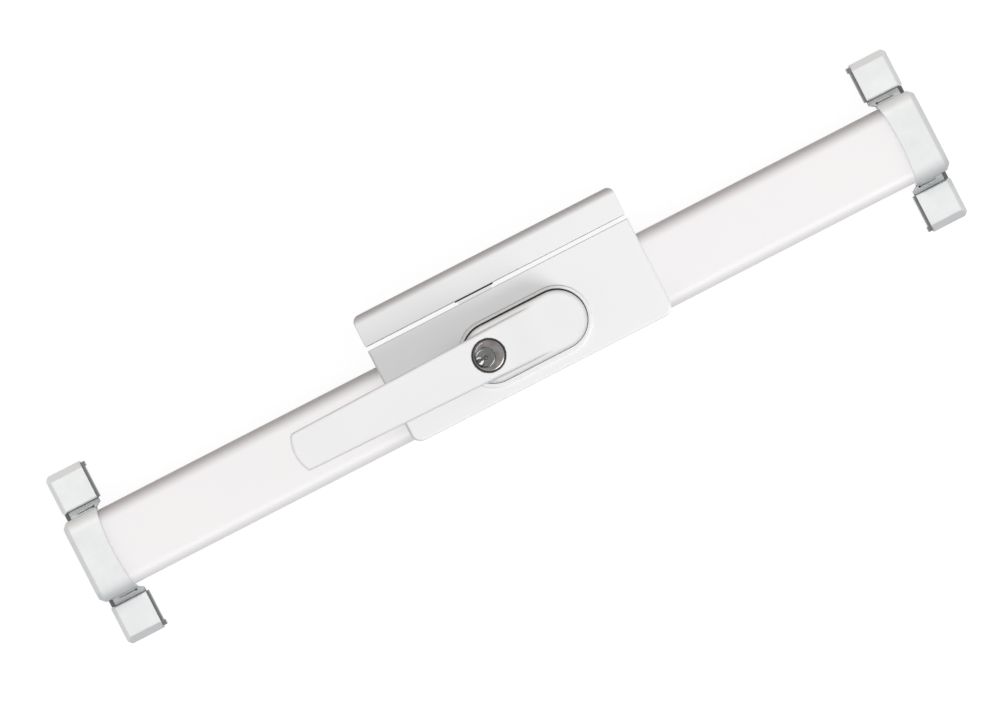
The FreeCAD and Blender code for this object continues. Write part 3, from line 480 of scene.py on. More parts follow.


# The side shares of the coated finishes darken their side faces: painted shade.
FINISHES: dict[Slot, Finish] = {
    Slot.COVER: CoatedFinish(
        "satin_cover_coat", (0.842, 0.845, 0.848), (0.827, 0.83, 0.835), 0.42, side_painted_shade=0.3
    ),
    Slot.BAR: CoatedFinish(
        "satin_bar_coat", (0.88, 0.868, 0.872), (0.87, 0.862, 0.866), 0.4, side_painted_shade=0.22
    ),
    Slot.HANDLE: CoatedFinish(
        "smooth_handle_lacquer", (0.832, 0.835, 0.838), (0.822, 0.825, 0.828), 0.45,
        side_painted_shade=0.12, painted_shade_start=0.17,
    ),
    Slot.END_PIECE: CoatedFinish(
        "moulded_end_white", (0.85, 0.866, 0.87), (0.795, 0.81, 0.816), 0.42, drift_mm=9.0,
        grain_mm=0.6, bump_mm=0.02, fleck_share=0.3, side_painted_shade=0.2, painted_shade_start=0.12,
    ),
    Slot.PLATED: MetalFinish(
        "zinc_plate", (0.235, 0.237, 0.24), (0.18, 0.18, 0.18), 0.38, worn_tone=(0.5, 0.5, 0.5)
    ),
    Slot.BOLT: MetalFinish(
        "bright_bolt_plate", (0.97, 0.97, 0.97), (0.94, 0.94, 0.94), 0.06, bump_mm=0.0005, unevenness=0.06
    ),
    Slot.NYLON: CoatedFinish("natural_nylon", (0.78, 0.78, 0.74), (0.72, 0.72, 0.68), 0.5),
    Slot.BUSH: MetalFinish("sintered_bush", (0.45, 0.44, 0.42), (0.38, 0.37, 0.35), 0.5),
    # Black washer and sleeve: black plastic in part, and in part painted shade standing in for the shadowed
    # gaps round the head and the cylinder.
    Slot.WASHER: CoatedFinish("black_washer", (0.012, 0.012, 0.013), (0.02, 0.02, 0.02), 0.5),
    Slot.NICKEL: MetalFinish(
        "satin_nickel", (0.38, 0.355, 0.35), (0.21, 0.2, 0.2), 0.26,
        drift_mm=4.5, worn_tone=(0.6, 0.59, 0.58),
    ),
    Slot.PLUG: MetalFinish(
        "worn_plug_nickel", (0.235, 0.236, 0.237), (0.165, 0.166, 0.168), 0.24,
        drift_mm=3.5, worn_tone=(0.7, 0.69, 0.68),
    ),
    Slot.SLIDE: MetalFinish(
        "stamped_brass", (0.21, 0.16, 0.115), (0.15, 0.12, 0.09), 0.4, worn_tone=(0.5, 0.4, 0.25)
    ),
}

SCREW_ZINC = MetalFinish(
    "bright_screw_zinc", (0.4, 0.4, 0.41), (0.32, 0.32, 0.33), 0.3, worn_tone=(0.6, 0.6, 0.6)
)

NODE_FINISHES: dict[str, Finish] = {
    "case_cover_screws": SCREW_ZINC,
    "strike_cover_screws": SCREW_ZINC,
    # The keeper's dark tone is painted shade, standing in for the shadowed line at the keeper's mouth.
    "strike_keeper": MetalFinish(
        "dark_keeper_plate", (0.12, 0.12, 0.122), (0.09, 0.09, 0.092), 0.42, worn_tone=(0.2, 0.2, 0.2)
    ),
}


class Dressing:
    """Gives each node and piece its finish."""

    def __init__(self) -> None:
        """Build the materials once."""
        effects = Effects()
        self.materials = {slot: finish.build(effects) for slot, finish in FINISHES.items()}
        own = {finish.name: finish.build(effects) for finish in dict.fromkeys(NODE_FINISHES.values())}
        self.own = {node: own[finish.name] for node, finish in NODE_FINISHES.items()}
        self.slots = {row["node"]: Slot(row["material_slot"]) for row in frame["record"]["subparts"]}

    def dress(self, thing: Thing, slot: Slot) -> None:
        """Put one finish on an object."""
        thing.data.materials.clear()
        thing.data.materials.append(self.materials[slot])

    def dress_nodes(self) -> None:
        """Put the finish of its slot on every carried-over node."""
        for name, node in frame["nodes"].items():
            self.dress(node, self.slots[name])
            self.dress_own(node, name)
            LOG.info("node %s: %s", name, node.data.materials[0].name)

    def dress_own(self, thing: Thing, node: str) -> None:
        """Give an object the finish that its node has of its own, if it has one."""
        if node in self.own:
            thing.data.materials[0] = self.own[node]


WELD_MM = 0.001
FLAT_DEG = 1.5
SHARP_DEG = 32.0
ROUNDING_SEGMENTS = 2

Ring = tuple[float, float, float, float]
Row = list[bmesh.types.BMVert]


def rolled(row: list) -> list:
    """Give a closed row from its second member on, with the first one last."""
    return row[1:] + row[:1]


def turns(count: int) -> list[float]:
    """Angles of evenly spaced points round a circle."""
    return [2 * math.pi * step / count for step in range(count)]


@dataclass
class Bench:
    """Makes new pieces and puts them on the lock."""

    dressing: Dressing

    def clean_form(self, node: str) -> Form:
        """Copy a node's shape with its seams welded and its flat faces joined.

        Args:
            node: The node to copy.

        Returns:
            The copied shape.
        """
        form = bmesh.new()
        form.from_mesh(frame["nodes"][node].data)
        bmesh.ops.remove_doubles(form, verts=form.verts, dist=WELD_MM * MILLIMETRE)
        flat = math.radians(FLAT_DEG)
        bmesh.ops.dissolve_limit(form, angle_limit=flat, verts=form.verts, edges=form.edges)
        return form

    def skin(self, form: Form, rows: list[Row]) -> None:
        """Join closed rows of as many points each with faces.

        Args:
            form: The shape that gets the faces.
            rows: The rows, from one end to the other.
        """
        for lower, upper in zip(rows, rows[1:]):
            for corners in zip(lower, rolled(lower), rolled(upper), upper):
                form.faces.new(corners)

    def fill(self, form: Form, *outlines: Row) -> None:
        """Fill the flat face between an outer row of points and the rows round its holes."""
        edges = [form.edges.get(pair) for row in outlines for pair in zip(row, rolled(row))]
        bmesh.ops.triangle_fill(form, use_beauty=True, use_dissolve=False, edges=edges)

    def piece(self, name: str, form: Form, slot: Slot, node: str) -> Thing:
        """Turn a shape into a piece of the lock.

        Args:
            name: The piece's name.
            form: Its shape, which is used up.
            slot: The slot whose finish it takes.
            node: The node whose body it rides on.

        Returns:
            The piece.
        """
        form.verts.index_update()
        corners = [vertex.co[:] for vertex in form.verts]
        faces = [[vertex.index for vertex in face.verts] for face in form.faces]
        form.free()
        mesh = bpy.data.meshes.new(name)
        mesh.from_pydata(corners, [], faces)
        mesh.shade_smooth()
        mesh.set_sharp_from_angle(angle=math.radians(SHARP_DEG))
        piece = bpy.data.objects.new(name, mesh)
        bpy.context.scene.collection.objects.link(piece)
        self.dressing.dress(piece, slot)
        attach(piece, body_of(frame["nodes"][node])[0])
        LOG.info("piece %s: %d faces", name, len(faces))
        return piece

    def made(self, name: str, form: Form, slot: Slot, node: str) -> Thing:
        """Turn a shape built face by face into a piece, with every face looking out of it."""
        bmesh.ops.recalc_face_normals(form, faces=form.faces)
        return self.piece(name, form, slot, node)

    def softened(self, node: str, form: Form, radius_mm: float) -> None:
        """Stand a shape with rounded edges in a node's place.

        Args:
            node: The node to replace.
            form: The shape, which is used up.
            radius_mm: Width of the rounding.
        """
        piece = self.piece(f"{node}_soft", form, self.dressing.slots[node], node)
        rounding = piece.modifiers.new("rounding", "BEVEL")
        rounding.width = radius_mm * MILLIMETRE
        rounding.segments = ROUNDING_SEGMENTS
        rounding.limit_method = "ANGLE"
        rounding.angle_limit = math.radians(SHARP_DEG)
        rounding.use_clamp_overlap = False
        rounding.loop_slide = False
        weighting = piece.modifiers.new("weighting", "WEIGHTED_NORMAL")
        weighting.keep_sharp = True
        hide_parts(node)

    def freeze(self, piece: Thing) -> None:
        """Turn a piece's modifiers into plain mesh.

        Args:
            piece: The piece, which keeps its name and gets a new mesh.
        """
        shaped = piece.evaluated_get(bpy.context.evaluated_depsgraph_get())
        mesh = bpy.data.meshes.new_from_object(shaped)
        piece.modifiers.clear()
        piece.data = mesh


SIDES = ("left", "right")


@dataclass
class Shells:
    """Covers, caps, hoods and folded plates whose edges are rounded."""

    bench: Bench
    cover_edge_mm: float = 0.3
    strike_edge_mm: float = 0.25
    bracket_edge_mm: float = 0.15
    foot_mm: float = 0.05
    end_face_mm: float = 3.3
    end_zone_mm: float = 3.0
    end_lean: float = 0.45

    def roundings(self) -> dict[str, float]:
        """Give the nodes in the order of their making, each with its rounding in millimetres."""
        return {
            "case_cover": self.cover_edge_mm,
            "strike_cover": self.cover_edge_mm,
            "strike_bracket": self.strike_edge_mm,
            **{f"{side}_end_hood": self.cover_edge_mm for side in SIDES},
            **{f"{side}_end_cap_{row}": self.cover_edge_mm for side in SIDES for row in ("upper", "lower")},
            **{f"{side}_end_bracket": self.bracket_edge_mm for side in SIDES},
        }

    def lean_end(self, form: Form) -> None:
        """Let the sloped end face of a cap fall more.

        Args:
            form: The cap's shape, which is changed.
        """
        start = max(abs(vertex.co.y) for vertex in form.verts) - self.end_face_mm * MILLIMETRE
        zone = max(vertex.co.z for vertex in form.verts) - self.end_zone_mm * MILLIMETRE
        for vertex in form.verts:
            past = abs(vertex.co.y) - start
            if past > 0.0 and vertex.co.z > zone:
                vertex.co.z -= past * self.end_lean

    def build(self) -> None:
        """Make every softened copy."""
        for node, radius in self.roundings().items():
            form = self.bench.clean_form(node)
            if "_end_cap_" in node:
                self.lean_end(form)
            for vertex in form.verts:
                vertex.co.z = max(vertex.co.z, self.foot_mm * MILLIMETRE)
            self.bench.softened(node, form, radius)


@dataclass
class CoverScrews:
    """Countersunk screws of the covers, with a cross recess in each head."""

    bench: Bench
    nodes: tuple[str, ...] = ("case_cover_screws", "strike_cover_screws")
    segments: int = 48
    turn_deg: float = 37.0
    tip_mm: tuple[Span, ...] = ((0.95, 0.0), (1.22, 0.35))
    head_mm: tuple[Span, ...] = ((1.22, -1.28), (2.4, -0.1), (2.46, -0.05), (2.4, -0.01), (2.32, 0.0))
    recess_mm: tuple[Ring, ...] = (
        (1.5, 0.36, 0.52, 0.0),
        (1.42, 0.31, 0.46, -0.08),
        (0.8, 0.17, 0.3, -0.95),
        (0.3, 0.1, 0.16, -1.15),
    )

    def islands(self, form: Form) -> list[list[bmesh.types.BMFace]]:
        """Part a shape into its separate bodies.

        Args:
            form: The shape.

        Returns:
            The faces of each body.
        """
        seen: set[bmesh.types.BMFace] = set()
        islands = []
        for start in form.faces:
            if start in seen:
                continue
            seen.add(start)
            island = [start]
            for face in island:
                for edge in face.edges:
                    fresh = [near for near in edge.link_faces if near not in seen]
                    seen.update(fresh)
                    island.extend(fresh)
            islands.append(island)
        return islands

    def cross(self, reach: float, half: float, inner: float) -> list[Span]:
        """Outline of a cross, three corners to each arm.

        Args:
            reach: How far an arm reaches.
            half: Half of an arm's width.
            inner: Place of the corner between two arms, along X and along Y.

        Returns:
            Twelve corners.
        """
        arm = (Vector((reach, -half)), Vector((reach, half)), Vector((inner, inner)))
        corners = []
        for quarter in range(4):
            turn = Matrix.Rotation(quarter * math.pi / 2, 2)
            corners.extend((turn @ corner)[:] for corner in arm)
        return corners

    def screw(self, form: Form, place: Matrix, length: float) -> None:
        """Add one screw to a shape.

        Args:
            form: The shape that gets the screw.
            place: Where its head's face goes, with Z out of the head.
            length: Length under the face, in metres.
        """
        profile = [(radius, level - length / MILLIMETRE) for radius, level in self.tip_mm]
        profile += self.head_mm
        shank = [
            [(radius * math.cos(turn), radius * math.sin(turn), level) for turn in turns(self.segments)]
            for radius, level in profile
        ]
        recess = [
            [(x, y, level) for x, y in self.cross(reach, half, inner)]
            for reach, half, inner, level in self.recess_mm
        ]
        outer, inner = (
            [[form.verts.new(place @ (Vector(corner) * MILLIMETRE)) for corner in row] for row in plan]
            for plan in (shank, recess)
        )
        self.bench.skin(form, outer)
        self.bench.skin(form, inner)
        form.faces.new(outer[0])
        form.faces.new(inner[-1])
        self.bench.fill(form, outer[-1], inner[0])

    def build(self) -> None:
        """Make a screw in the place of each one of the nodes."""
        for node in self.nodes:
            old = self.bench.clean_form(node)
            form = bmesh.new()
            for index, island in enumerate(self.islands(old)):
                head = max(island, key=lambda face: face.calc_area())
                centre = head.calc_center_median()
                points = [vertex.co for face in island for vertex in face.verts]
                length = max((centre - point).dot(head.normal) for point in points)
                aim = head.normal.to_track_quat("Z", "Y").to_matrix().to_4x4()
                turn = Matrix.Rotation(math.radians(self.turn_deg * index), 4, "Z")
                self.screw(form, Matrix.Translation(centre) @ aim @ turn, length)
            old.free()
            dressing = self.bench.dressing
            piece = self.bench.made(f"{node}_cross", form, dressing.slots[node], node)
            dressing.dress_own(piece, node)
            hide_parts(node)


def eased(share: float) -> float:
    """Rise from 0 to 1 by the fifth-degree curve that starts and ends level and without a bend."""
    return share * share * share * (share * (share * 6 - 15) + 10)


@dataclass
class Handle:
    """Cast lever whose ridge, slope and edges run into each other."""

    bench: Bench
    voxel_mm: float = 0.5
    smoothing: float = 0.5
    passes: int = 5
    slope_start_mm: float = -22.0
    slope_end_mm: float = 15.5
    straight_start_mm: float = -11.0
    straight_end_mm: float = 12.0
    margin_mm: float = 0.1

    def build(self) -> None:
        """Make the lever with blended edges.

        The sky's light on other pieces passes through it, so that they stay clean beside it.
        """
        node = "handle_lever"
        form = self.bench.clean_form(node)
        piece = self.bench.piece("blended_lever", form, Slot.HANDLE, node)
        remesh = piece.modifiers.new("even_skin", "REMESH")
        remesh.mode = "VOXEL"
        remesh.voxel_size = self.voxel_mm * MILLIMETRE
        remesh.use_smooth_shade = True
        smooth = piece.modifiers.new("blending", "SMOOTH")
        smooth.factor = self.smoothing
        smooth.iterations = self.passes
        self.bench.freeze(piece)
        self.ease_slope(piece.data)
        self.bench.dressing.dress(piece, Slot.HANDLE)
        piece.visible_diffuse = False
        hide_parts(node)
        LOG.info("piece %s: %d faces after blending", piece.name, len(piece.data.polygons))

    def straight_level(self, x: float, top: float, head_top: float) -> float:
        """Height of the straight slope, all in metres.

        Args:
            x: Where it is asked for.
            top: Height of the lever.
            head_top: Height of the head.

        Returns:
            The height at X.
        """
        start, end = self.straight_start_mm * MILLIMETRE, self.straight_end_mm * MILLIMETRE
        share = min(max((x - start) / (end - start), 0.0), 1.0)
        return top + (head_top - top) * share

    def ease_slope(self, mesh: bpy.types.Mesh) -> None:
        """Turn the straight slope between lever and head into one long soft curve.

        Args:
            mesh: The lever's mesh, which is changed.
        """
        top = max(vertex.co.z for vertex in mesh.vertices)
        start, end = self.slope_start_mm * MILLIMETRE, self.slope_end_mm * MILLIMETRE
        margin = self.margin_mm * MILLIMETRE
        head_top = max(vertex.co.z for vertex in mesh.vertices if vertex.co.x > end)
        for vertex in mesh.vertices:
            place = vertex.co
            if place.z < head_top - margin or not start < place.x < end:
                continue
            share = (place.x - start) / (end - start)
            goal = top + (head_top - top) * eased(share)
            old = self.straight_level(place.x, top, head_top)
            if old - head_top > margin:
                place.z = head_top + (place.z - head_top) * (goal - head_top) / (old - head_top)
        mesh.update()


@dataclass
class KeyCylinder:
    """Turned cylinder body in its black sleeve, partly painted shade, and the plug with its keyway and pin.
    """

    bench: Bench
    segments: int = 96
    sleeve_mm: Span = (7.88, 7.22)
    sleeve_drop_mm: float = 0.12
    sleeve_fall_mm: float = 0.05
    sleeve_depth_mm: float = 0.9
    rim_mm: tuple[Span, ...] = ((7.2, -0.45), (7.17, -0.21), (6.68, -0.015), (6.62, 0.0))
    rim_inside_mm: tuple[Span, ...] = ((6.56, -0.015), (6.24, -0.14), (6.2, -0.34))
    rim_shift_mm: Span = (-0.22, 0.12)
    face_shift_mm: Span = (-0.4, -0.2)
    shifted_from: int = 4
    plug_play_mm: float = 0.05
    plug_fall_mm: float = 0.3
    plug_rim_mm: tuple[Span, ...] = (
        (0.0, -0.36), (0.03, -0.2), (0.5, -0.015), (0.55, 0.0), (0.6, -0.015), (0.98, -0.17), (1.0, -0.24),
    )
    pocket_reach_mm: Span = (1.95, 2.35)
    pocket_centre_mm: Span = (-3.05, -0.85)
    pocket_limit_mm: float = 3.66
    pocket_points: int = 60
    pocket_parting_mm: float = -0.1
    pocket_start_mm: Span = (1.75, -0.6)
    pocket_least_mm: float = 0.03
    pocket_slope: Span = (-0.1, 0.42)
    keyway_depth_mm: float = 7.0
    keyway_mm: tuple[Span, ...] = (
        (-1.2, -0.25), (-1.35, 0.3), (-1.8, 0.46), (-2.05, 0.34), (-2.45, 0.48),
        (-2.7, 0.66), (-3.4, 0.7), (-3.86, 0.58), (-3.88, -0.9), (-3.4, -1.02),
        (-2.7, -0.94), (-2.45, -0.74), (-2.0, -0.66), (-1.8, -0.8), (-1.3, -0.66),
    )
    pin_mm: tuple[Span, ...] = ((0.84, -0.62), (0.84, -0.2), (0.7, -0.06), (0.38, 0.02), (0.15, 0.04))
    pin_centre_mm: float = 0.2
    pin_hole_mm: Span = (1.02, 0.55)

    def circle(self, form: Form, ring: Ring) -> Row:
        """Add a level circle of points.

        Args:
            form: The shape that gets the points.
            ring: Centre X and Y, radius and height in metres.

        Returns:
            The points in order.
        """
        centre_x, centre_y, radius, level = ring
        return [
            form.verts.new((centre_x + radius * math.cos(turn), centre_y + radius * math.sin(turn), level))
            for turn in turns(self.segments)
        ]

    def rows(self, form: Form, rings: list[Ring]) -> list[Row]:
        """Skin a row of circles.

        Args:
            form: The shape that gets them.
            rings: The circles, from one end to the other.

        Returns:
            The points of each circle.
        """
        rows = [self.circle(form, ring) for ring in rings]
        self.bench.skin(form, rows)
        return rows

    def sleeve(self, axis: Vector, top: float) -> None:
        """Thin black sleeve, partly painted shade, that shows as the dark ring round the cylinder.

        Args:
            axis: The cylinder's axis in plan.
            top: Height of the cylinder's rim.
        """
        outer, inner = (radius * MILLIMETRE for radius in self.sleeve_mm)
        drop = top - self.sleeve_drop_mm * MILLIMETRE
        edge = drop - self.sleeve_fall_mm * MILLIMETRE
        low = top - self.sleeve_depth_mm * MILLIMETRE
        levels = ((outer, low), (outer, edge), ((outer + inner) / 2, drop), (inner, edge), (inner, low))
        form = bmesh.new()
        rows = self.rows(form, [(*axis, radius, level) for radius, level in levels])
        self.bench.skin(form, [rows[-1], rows[0]])
        self.bench.made("cylinder_sleeve", form, Slot.WASHER, "cylinder_housing")

    def body(self, axis: Vector, plug: Vector, hole: float, low: float, top: float) -> None:
        """Cylinder body with its rounded rim and the hole for the plug.

        Args:
            axis: The cylinder's axis in plan.
            plug: The plug's axis in plan.
            hole: Radius of the plug's hole.
            low: Height of the lower end.
            top: Height of the rim.
        """
        unit = MILLIMETRE
        face = top + self.rim_inside_mm[-1][1] * unit
        inside = axis + Vector(self.rim_shift_mm) * unit
        rings = [(*axis, self.rim_mm[0][0] * unit, low)]
        rings += [(*axis, radius * unit, top + level * unit) for radius, level in self.rim_mm]
        rings += [(*inside, radius * unit, top + level * unit) for radius, level in self.rim_inside_mm]
        rings += [(*plug, hole, face), (*plug, hole, low)]
        form = bmesh.new()
        rows = self.rows(form, rings)
        self.bench.skin(form, [rows[-1], rows[0]])
        piece = self.bench.made("cylinder_body", form, Slot.NICKEL, "cylinder_housing")
        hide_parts("cylinder_housing")

    def throat(self) -> list[Span]:
        """Spread points evenly along the keyway's outline.

        Returns:
            Places in millimetres from the plug's axis, as many as the pocket has.
        """
        corners = [Vector(corner) for corner in self.keyway_mm]
        following = rolled(corners)
        lengths = [(end - start).length for start, end in zip(corners, following)]
        total = sum(lengths)
        places = []
        for step in range(self.pocket_points):
            distance = total * step / self.pocket_points
            index = 0
            while distance > lengths[index]:
                distance -= lengths[index]
                index += 1
            place = corners[index].lerp(following[index], distance / lengths[index])
            places.append(place[:])
        return places

    def pocket(self) -> list[Span]:
        """Points of the pocket about the keyway, in millimetres from the plug's axis.

        Returns:
            An oval, held inside the plug's flat face.
        """
        centre, middle = Vector(self.pocket_centre_mm), Vector(self.face_shift_mm)
        reach_x, reach_y = self.pocket_reach_mm
        places = []
        for turn in turns(self.pocket_points):
            from_middle = centre + Vector((reach_x * math.cos(turn), reach_y * math.sin(turn))) - middle
            if from_middle.length > self.pocket_limit_mm:
                from_middle.length = self.pocket_limit_mm
            places.append((middle + from_middle)[:])
        return places

    def pocket_level(self, x: float, y: float) -> float:
        """Height of the pocket's two sloped facets, one on each side of the keyway.

        Args:
            x: Place along X from the plug's axis, in millimetres.
            y: Place along Y from the plug's axis, in millimetres.

        Returns:
            Height against the plug's face, in millimetres.
        """
        start = self.pocket_start_mm[0] if y > self.pocket_parting_mm else self.pocket_start_mm[1]
        slope_x, slope_y = self.pocket_slope
        level = slope_x * (x - self.pocket_centre_mm[0]) + slope_y * (y - start)
        return min(level, -self.pocket_least_mm)

    def plug(self, plug: Vector, radius: float, low: float, top: float) -> None:
        """Turning plug with a bevelled rim and a keyway in a sloped pocket.

        Args:
            plug: The plug's axis in plan.
            radius: The plug's radius.
            low: Height of the lower end.
            top: Height of the rim.
        """
        unit = MILLIMETRE
        shifted = plug + Vector(self.face_shift_mm) * unit
        rings = [(*plug, radius, low)]
        for index, (inset, level) in enumerate(self.plug_rim_mm):
            centre = plug if index < self.shifted_from else shifted
            rings.append((*centre, radius - inset * unit, top + level * unit))
        face = top + self.plug_rim_mm[-1][1] * unit
        form = bmesh.new()
        rows = self.rows(form, rings)
        form.faces.new(list(reversed(rows[0])))

        pocket, throat = self.pocket(), self.throat()
        plan = (
            [(x, y, 0.0) for x, y in pocket],
            [(x, y, self.pocket_level(x, y)) for x, y in pocket],
            [(x, y, self.pocket_level(x, y)) for x, y in throat],
            [(x, y, -self.keyway_depth_mm) for x, y in throat],
        )
        loops = []
        for row in plan:
            places = [(plug.x + x * unit, plug.y + y * unit, face + z * unit) for x, y, z in row]
            loops.append([form.verts.new(place) for place in places])
        self.bench.skin(form, loops)
        form.faces.new(loops[-1])
        hole, depth = (size * unit for size in self.pin_hole_mm)
        axis = self.pin_axis(plug)
        seat = self.rows(form, [(*axis, hole, face), (*axis, hole, face - depth)])
        form.faces.new(seat[-1])
        self.bench.fill(form, rows[-1], loops[0], seat[0])
        piece = self.bench.made("profiled_plug", form, Slot.PLUG, "key_plug")
        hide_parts("key_plug")

    def pin_axis(self, plug: Vector) -> Vector:
        """Centre of the pin in plan."""
        return plug + Vector((self.pin_centre_mm, self.face_shift_mm[1])) * MILLIMETRE

    def pin(self, plug: Vector, face: float) -> None:
        """Brass pin end beside the keyway.

        Args:
            plug: The plug's axis in plan.
            face: Height of the plug's face.
        """
        unit = MILLIMETRE
        axis = self.pin_axis(plug)
        rings = [(*axis, radius * unit, face + level * unit) for radius, level in self.pin_mm]
        form = bmesh.new()
        rows = self.rows(form, rings)
        form.faces.new(rows[-1])
        form.faces.new(list(reversed(rows[0])))
        self.bench.made("keyway_pin", form, Slot.SLIDE, "key_plug")

    def build(self) -> None:
        """Make the sleeve, the body, the plug and the pin."""
        low, high = (Vector(corner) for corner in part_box("cylinder_housing"))
        plug_low, plug_high = (Vector(corner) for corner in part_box("key_plug"))
        axis, plug = ((low + high) / 2).xy, ((plug_low + plug_high) / 2).xy
        radius = (plug_high.x - plug_low.x) / 2
        self.sleeve(axis, high.z)
        self.body(axis, plug, radius + self.plug_play_mm * MILLIMETRE, low.z, high.z)
        top = high.z - self.plug_fall_mm * MILLIMETRE
        self.plug(plug, radius, low.z, top)
        self.pin(plug, top + self.plug_rim_mm[-1][1] * MILLIMETRE)


@dataclass(frozen=True)
class SoftLamp:
    """A square lamp that points at the lock, and the pieces it lights.

    The photo joins views that were lit from different sides, so the covers, the lever, the bars and the end
    fittings each have a lamp of their own. Pieces are named by how their names begin.
    """

    name: str
    place: Point
    size_m: float
    power_w: float
    colour: Colour
    lit: tuple[str, ...]
    spared: bool = False
    shading: tuple[str, ...] = ()

    def gathered(self, label: str, prefixes: tuple[str, ...], state: str) -> bpy.types.Collection:
        """Gather pieces for the lamp.

        Args:
            label: The collection's name.
            prefixes: How the names of the pieces begin.
            state: INCLUDE for these pieces alone, EXCLUDE for all the others.

        Returns:
            The collection.
        """
        group = bpy.data.collections.new(label)
        for thing in bpy.data.objects:
            if thing.type == "MESH" and thing.name.startswith(prefixes):
                group.objects.link(thing)
        for entry in group.collection_objects:
            entry.light_linking.link_state = state
        return group

    def build(self) -> None:
        """Hang the lamp."""
        data = bpy.data.lights.new(self.name, "AREA")
        data.size, data.energy, data.color = self.size_m, self.power_w, self.colour
        lamp = bpy.data.objects.new(self.name, data)
        bpy.context.scene.collection.objects.link(lamp)
        lamp.location = self.place
        lamp.rotation_mode = "QUATERNION"
        lamp.rotation_quaternion = (-Vector(self.place)).to_track_quat("-Z", "Y")
        linking = lamp.light_linking
        state = "EXCLUDE" if self.spared else "INCLUDE"
        linking.receiver_collection = self.gathered(f"{self.name}_lit", self.lit, state)
        if self.shading:
            linking.blocker_collection = self.gathered(f"{self.name}_shading", self.shading, "INCLUDE")


BARS = ("left_bar", "right_bar")
ENDS = ("left_end_", "right_end_")
COVERS = ("case_cover_soft", "strike_cover_soft")
LEVER = ("blended_lever",)
OWN_LAMPS = BARS + ENDS + COVERS + LEVER

LAMPS = (
    SoftLamp("key", (0.87, -2.0, 1.85), 1.9, 45.0, (1.0, 0.99, 0.98), lit=OWN_LAMPS, spared=True),
    SoftLamp("cover_key", (1.7, -2.1, 1.25), 1.5, 74.0, (1.0, 0.985, 0.97), lit=COVERS),
    SoftLamp("lever_key", (0.3, 0.15, 2.75), 1.5, 22.0, (1.0, 0.995, 0.99), lit=LEVER),
    SoftLamp("bar_key", (0.33, -1.79, 2.2), 1.5, 34.5, (1.0, 0.985, 0.975), lit=BARS, shading=BARS),
    SoftLamp("end_key", (0.0, 1.85, 2.35), 1.5, 32.5, (1.0, 1.0, 0.98), lit=ENDS),
)


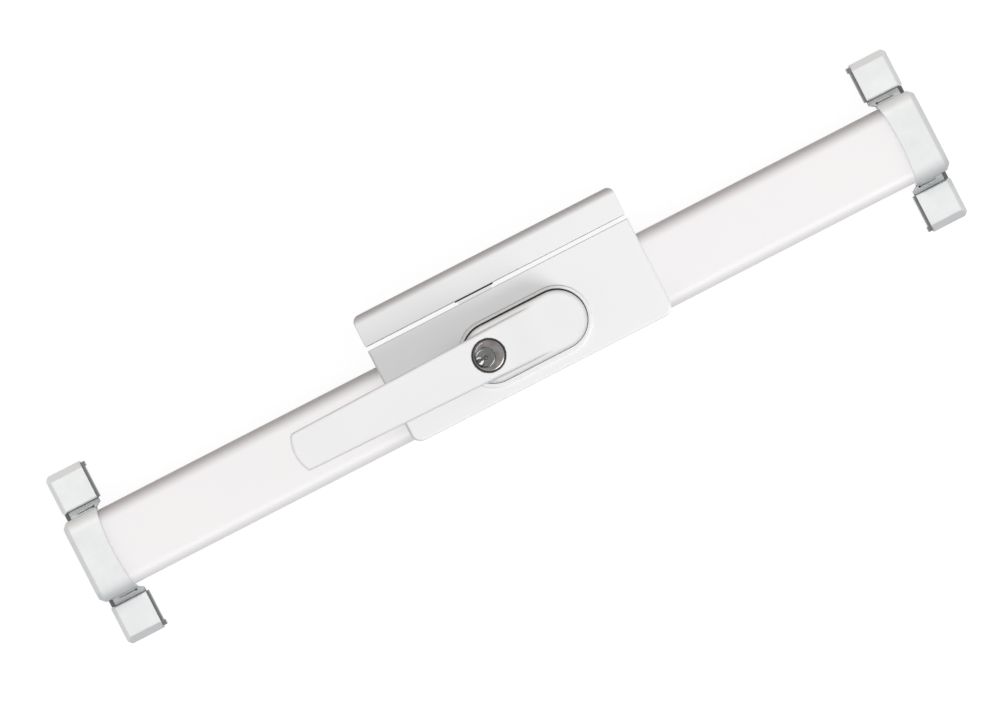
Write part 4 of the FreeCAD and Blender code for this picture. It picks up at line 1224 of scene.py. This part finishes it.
@dataclass
class Studio:
    """White floor, soft lamps and the camera above the lock."""

    photo_width_px: float = 1000.0
    photo_height_px: float = 707.0
    scale_mm_px: float = 0.46
    bar_angle_deg: float = 27.2
    spindle_px: Span = (528.3, 335.2)
    focus_height_mm: float = 20.0
    distance_mm: float = 4500.0
    sensor_mm: float = 36.0
    clip_m: Span = (0.1, 30.0)
    floor_half_m: float = 4.0
    floor_drop_m: float = 0.0002
    floor_glow: float = 0.93
    floor_seen: Colour = (0.12, 0.12, 0.12)
    floor_bounce: Colour = (0.42, 0.42, 0.43)
    sky_rise: Span = (-0.7, -0.35)
    sky_fall: Span = (0.1, 0.55)
    near_sky: Colour = (0.215, 0.22, 0.24)
    high_sky: Colour = (1.215, 1.23, 1.245)
    far_sky: Colour = (0.22, 0.155, 0.12)
    mirrored_sky: Colour = (0.8, 0.8, 0.8)
    seen_sky: Colour = (1.0, 1.0, 1.0)

    def camera(self) -> None:
        """Look straight down on the lock, rolled as in the photo."""
        roll = math.radians(self.bar_angle_deg)
        right = Vector((math.cos(roll), -math.sin(roll), 0.0))
        up = Vector((math.sin(roll), math.cos(roll), 0.0))
        across = (self.photo_width_px / 2 - self.spindle_px[0]) * self.scale_mm_px
        along = (self.spindle_px[1] - self.photo_height_px / 2) * self.scale_mm_px
        aim = right * across + up * along
        height = self.distance_mm + self.focus_height_mm
        data = bpy.data.cameras.new("camera")
        data.sensor_width = self.sensor_mm
        data.lens = self.sensor_mm * self.distance_mm / (self.photo_width_px * self.scale_mm_px)
        data.clip_start, data.clip_end = self.clip_m
        camera = bpy.data.objects.new("camera", data)
        bpy.context.scene.collection.objects.link(camera)
        turn = Matrix((right, up, Vector((0.0, 0.0, 1.0)))).transposed()
        place = Vector((aim.x, aim.y, height)) * MILLIMETRE
        camera.matrix_world = Matrix.Translation(place) @ turn.to_4x4()
        bpy.context.scene.camera = camera

    def floor(self) -> None:
        """White floor under the lock that keeps its shadow."""
        mesh = bpy.data.meshes.new("floor")
        half = self.floor_half_m
        corners = [(-half, -half, 0.0), (half, -half, 0.0), (half, half, 0.0), (-half, half, 0.0)]
        mesh.from_pydata(corners, [], [(0, 1, 2, 3)])
        floor = bpy.data.objects.new("floor", mesh)
        floor.location.z = -self.floor_drop_m
        bpy.context.scene.collection.objects.link(floor)
        material = bpy.data.materials.new("floor_white")
        material.use_nodes = True
        graph = Graph(material.node_tree)
        out = graph.add("ShaderNodeOutputMaterial")
        seen = graph.add("ShaderNodeAddShader")
        graph.join(graph.fed("ShaderNodeBsdfDiffuse", Color=self.floor_seen), seen.inputs[0])
        graph.join(graph.fed("ShaderNodeEmission", Strength=self.floor_glow), seen.inputs[1])
        plain = graph.fed("ShaderNodeBsdfDiffuse", Color=self.floor_bounce)
        graph.feed(out, Surface=graph.mix(self.seen_directly(graph), plain, seen.outputs[0]))
        mesh.materials.append(material)

    def seen_directly(self, graph: Graph) -> Socket:
        """Tell what the camera sees from what only lights.

        Args:
            graph: The graph that asks.

        Returns:
            A value of 1 where the camera looks, straight or through a gloss or a clear body.
        """
        rays = graph.add("ShaderNodeLightPath").outputs
        mirrored = graph.math("MAXIMUM", rays["Is Glossy Ray"], rays["Is Transmission Ray"])
        return graph.math("MAXIMUM", rays["Is Camera Ray"], mirrored)

    def world(self) -> None:
        """White to look at, while a soft band of sky along the bars lights the lock, warm far off."""
        world = bpy.data.worlds.new("surroundings")
        world.use_nodes = True
        bpy.context.scene.world = world
        graph = Graph(world.node_tree)
        out = graph.add("ShaderNodeOutputWorld")
        split = graph.add("ShaderNodeSeparateXYZ")
        graph.join(graph.add("ShaderNodeTexCoord").outputs["Generated"], split.inputs[0])
        rise = graph.ramp(split.outputs["Y"], *self.sky_rise)
        fall = graph.ramp(split.outputs["Y"], *self.sky_fall)
        band = graph.blend(fall, graph.blend(rise, self.near_sky, self.high_sky), self.far_sky)
        soft = graph.fed("ShaderNodeBackground", Color=band)
        looked_at = graph.add("ShaderNodeLightPath").outputs["Is Camera Ray"]
        shown = graph.blend(looked_at, self.mirrored_sky, self.seen_sky)
        white = graph.fed("ShaderNodeBackground", Color=shown)
        graph.feed(out, Surface=graph.mix(self.seen_directly(graph), soft, white))

    def build(self) -> None:
        """Set up everything that isn't the lock."""
        bpy.context.scene.view_settings.view_transform = "Standard"
        self.camera()
        self.floor()
        self.world()
        for lamp in LAMPS:
            lamp.build()


def main() -> None:
    """Build the looks in order."""
    logging.basicConfig(level=logging.INFO, format="%(name)s: %(message)s")
    dressing = Dressing()
    dressing.dress_nodes()
    bench = Bench(dressing)
    Shells(bench).build()
    CoverScrews(bench).build()
    Handle(bench).build()
    KeyCylinder(bench).build()
    Studio().build()


if __name__ == "__main__":
    main()
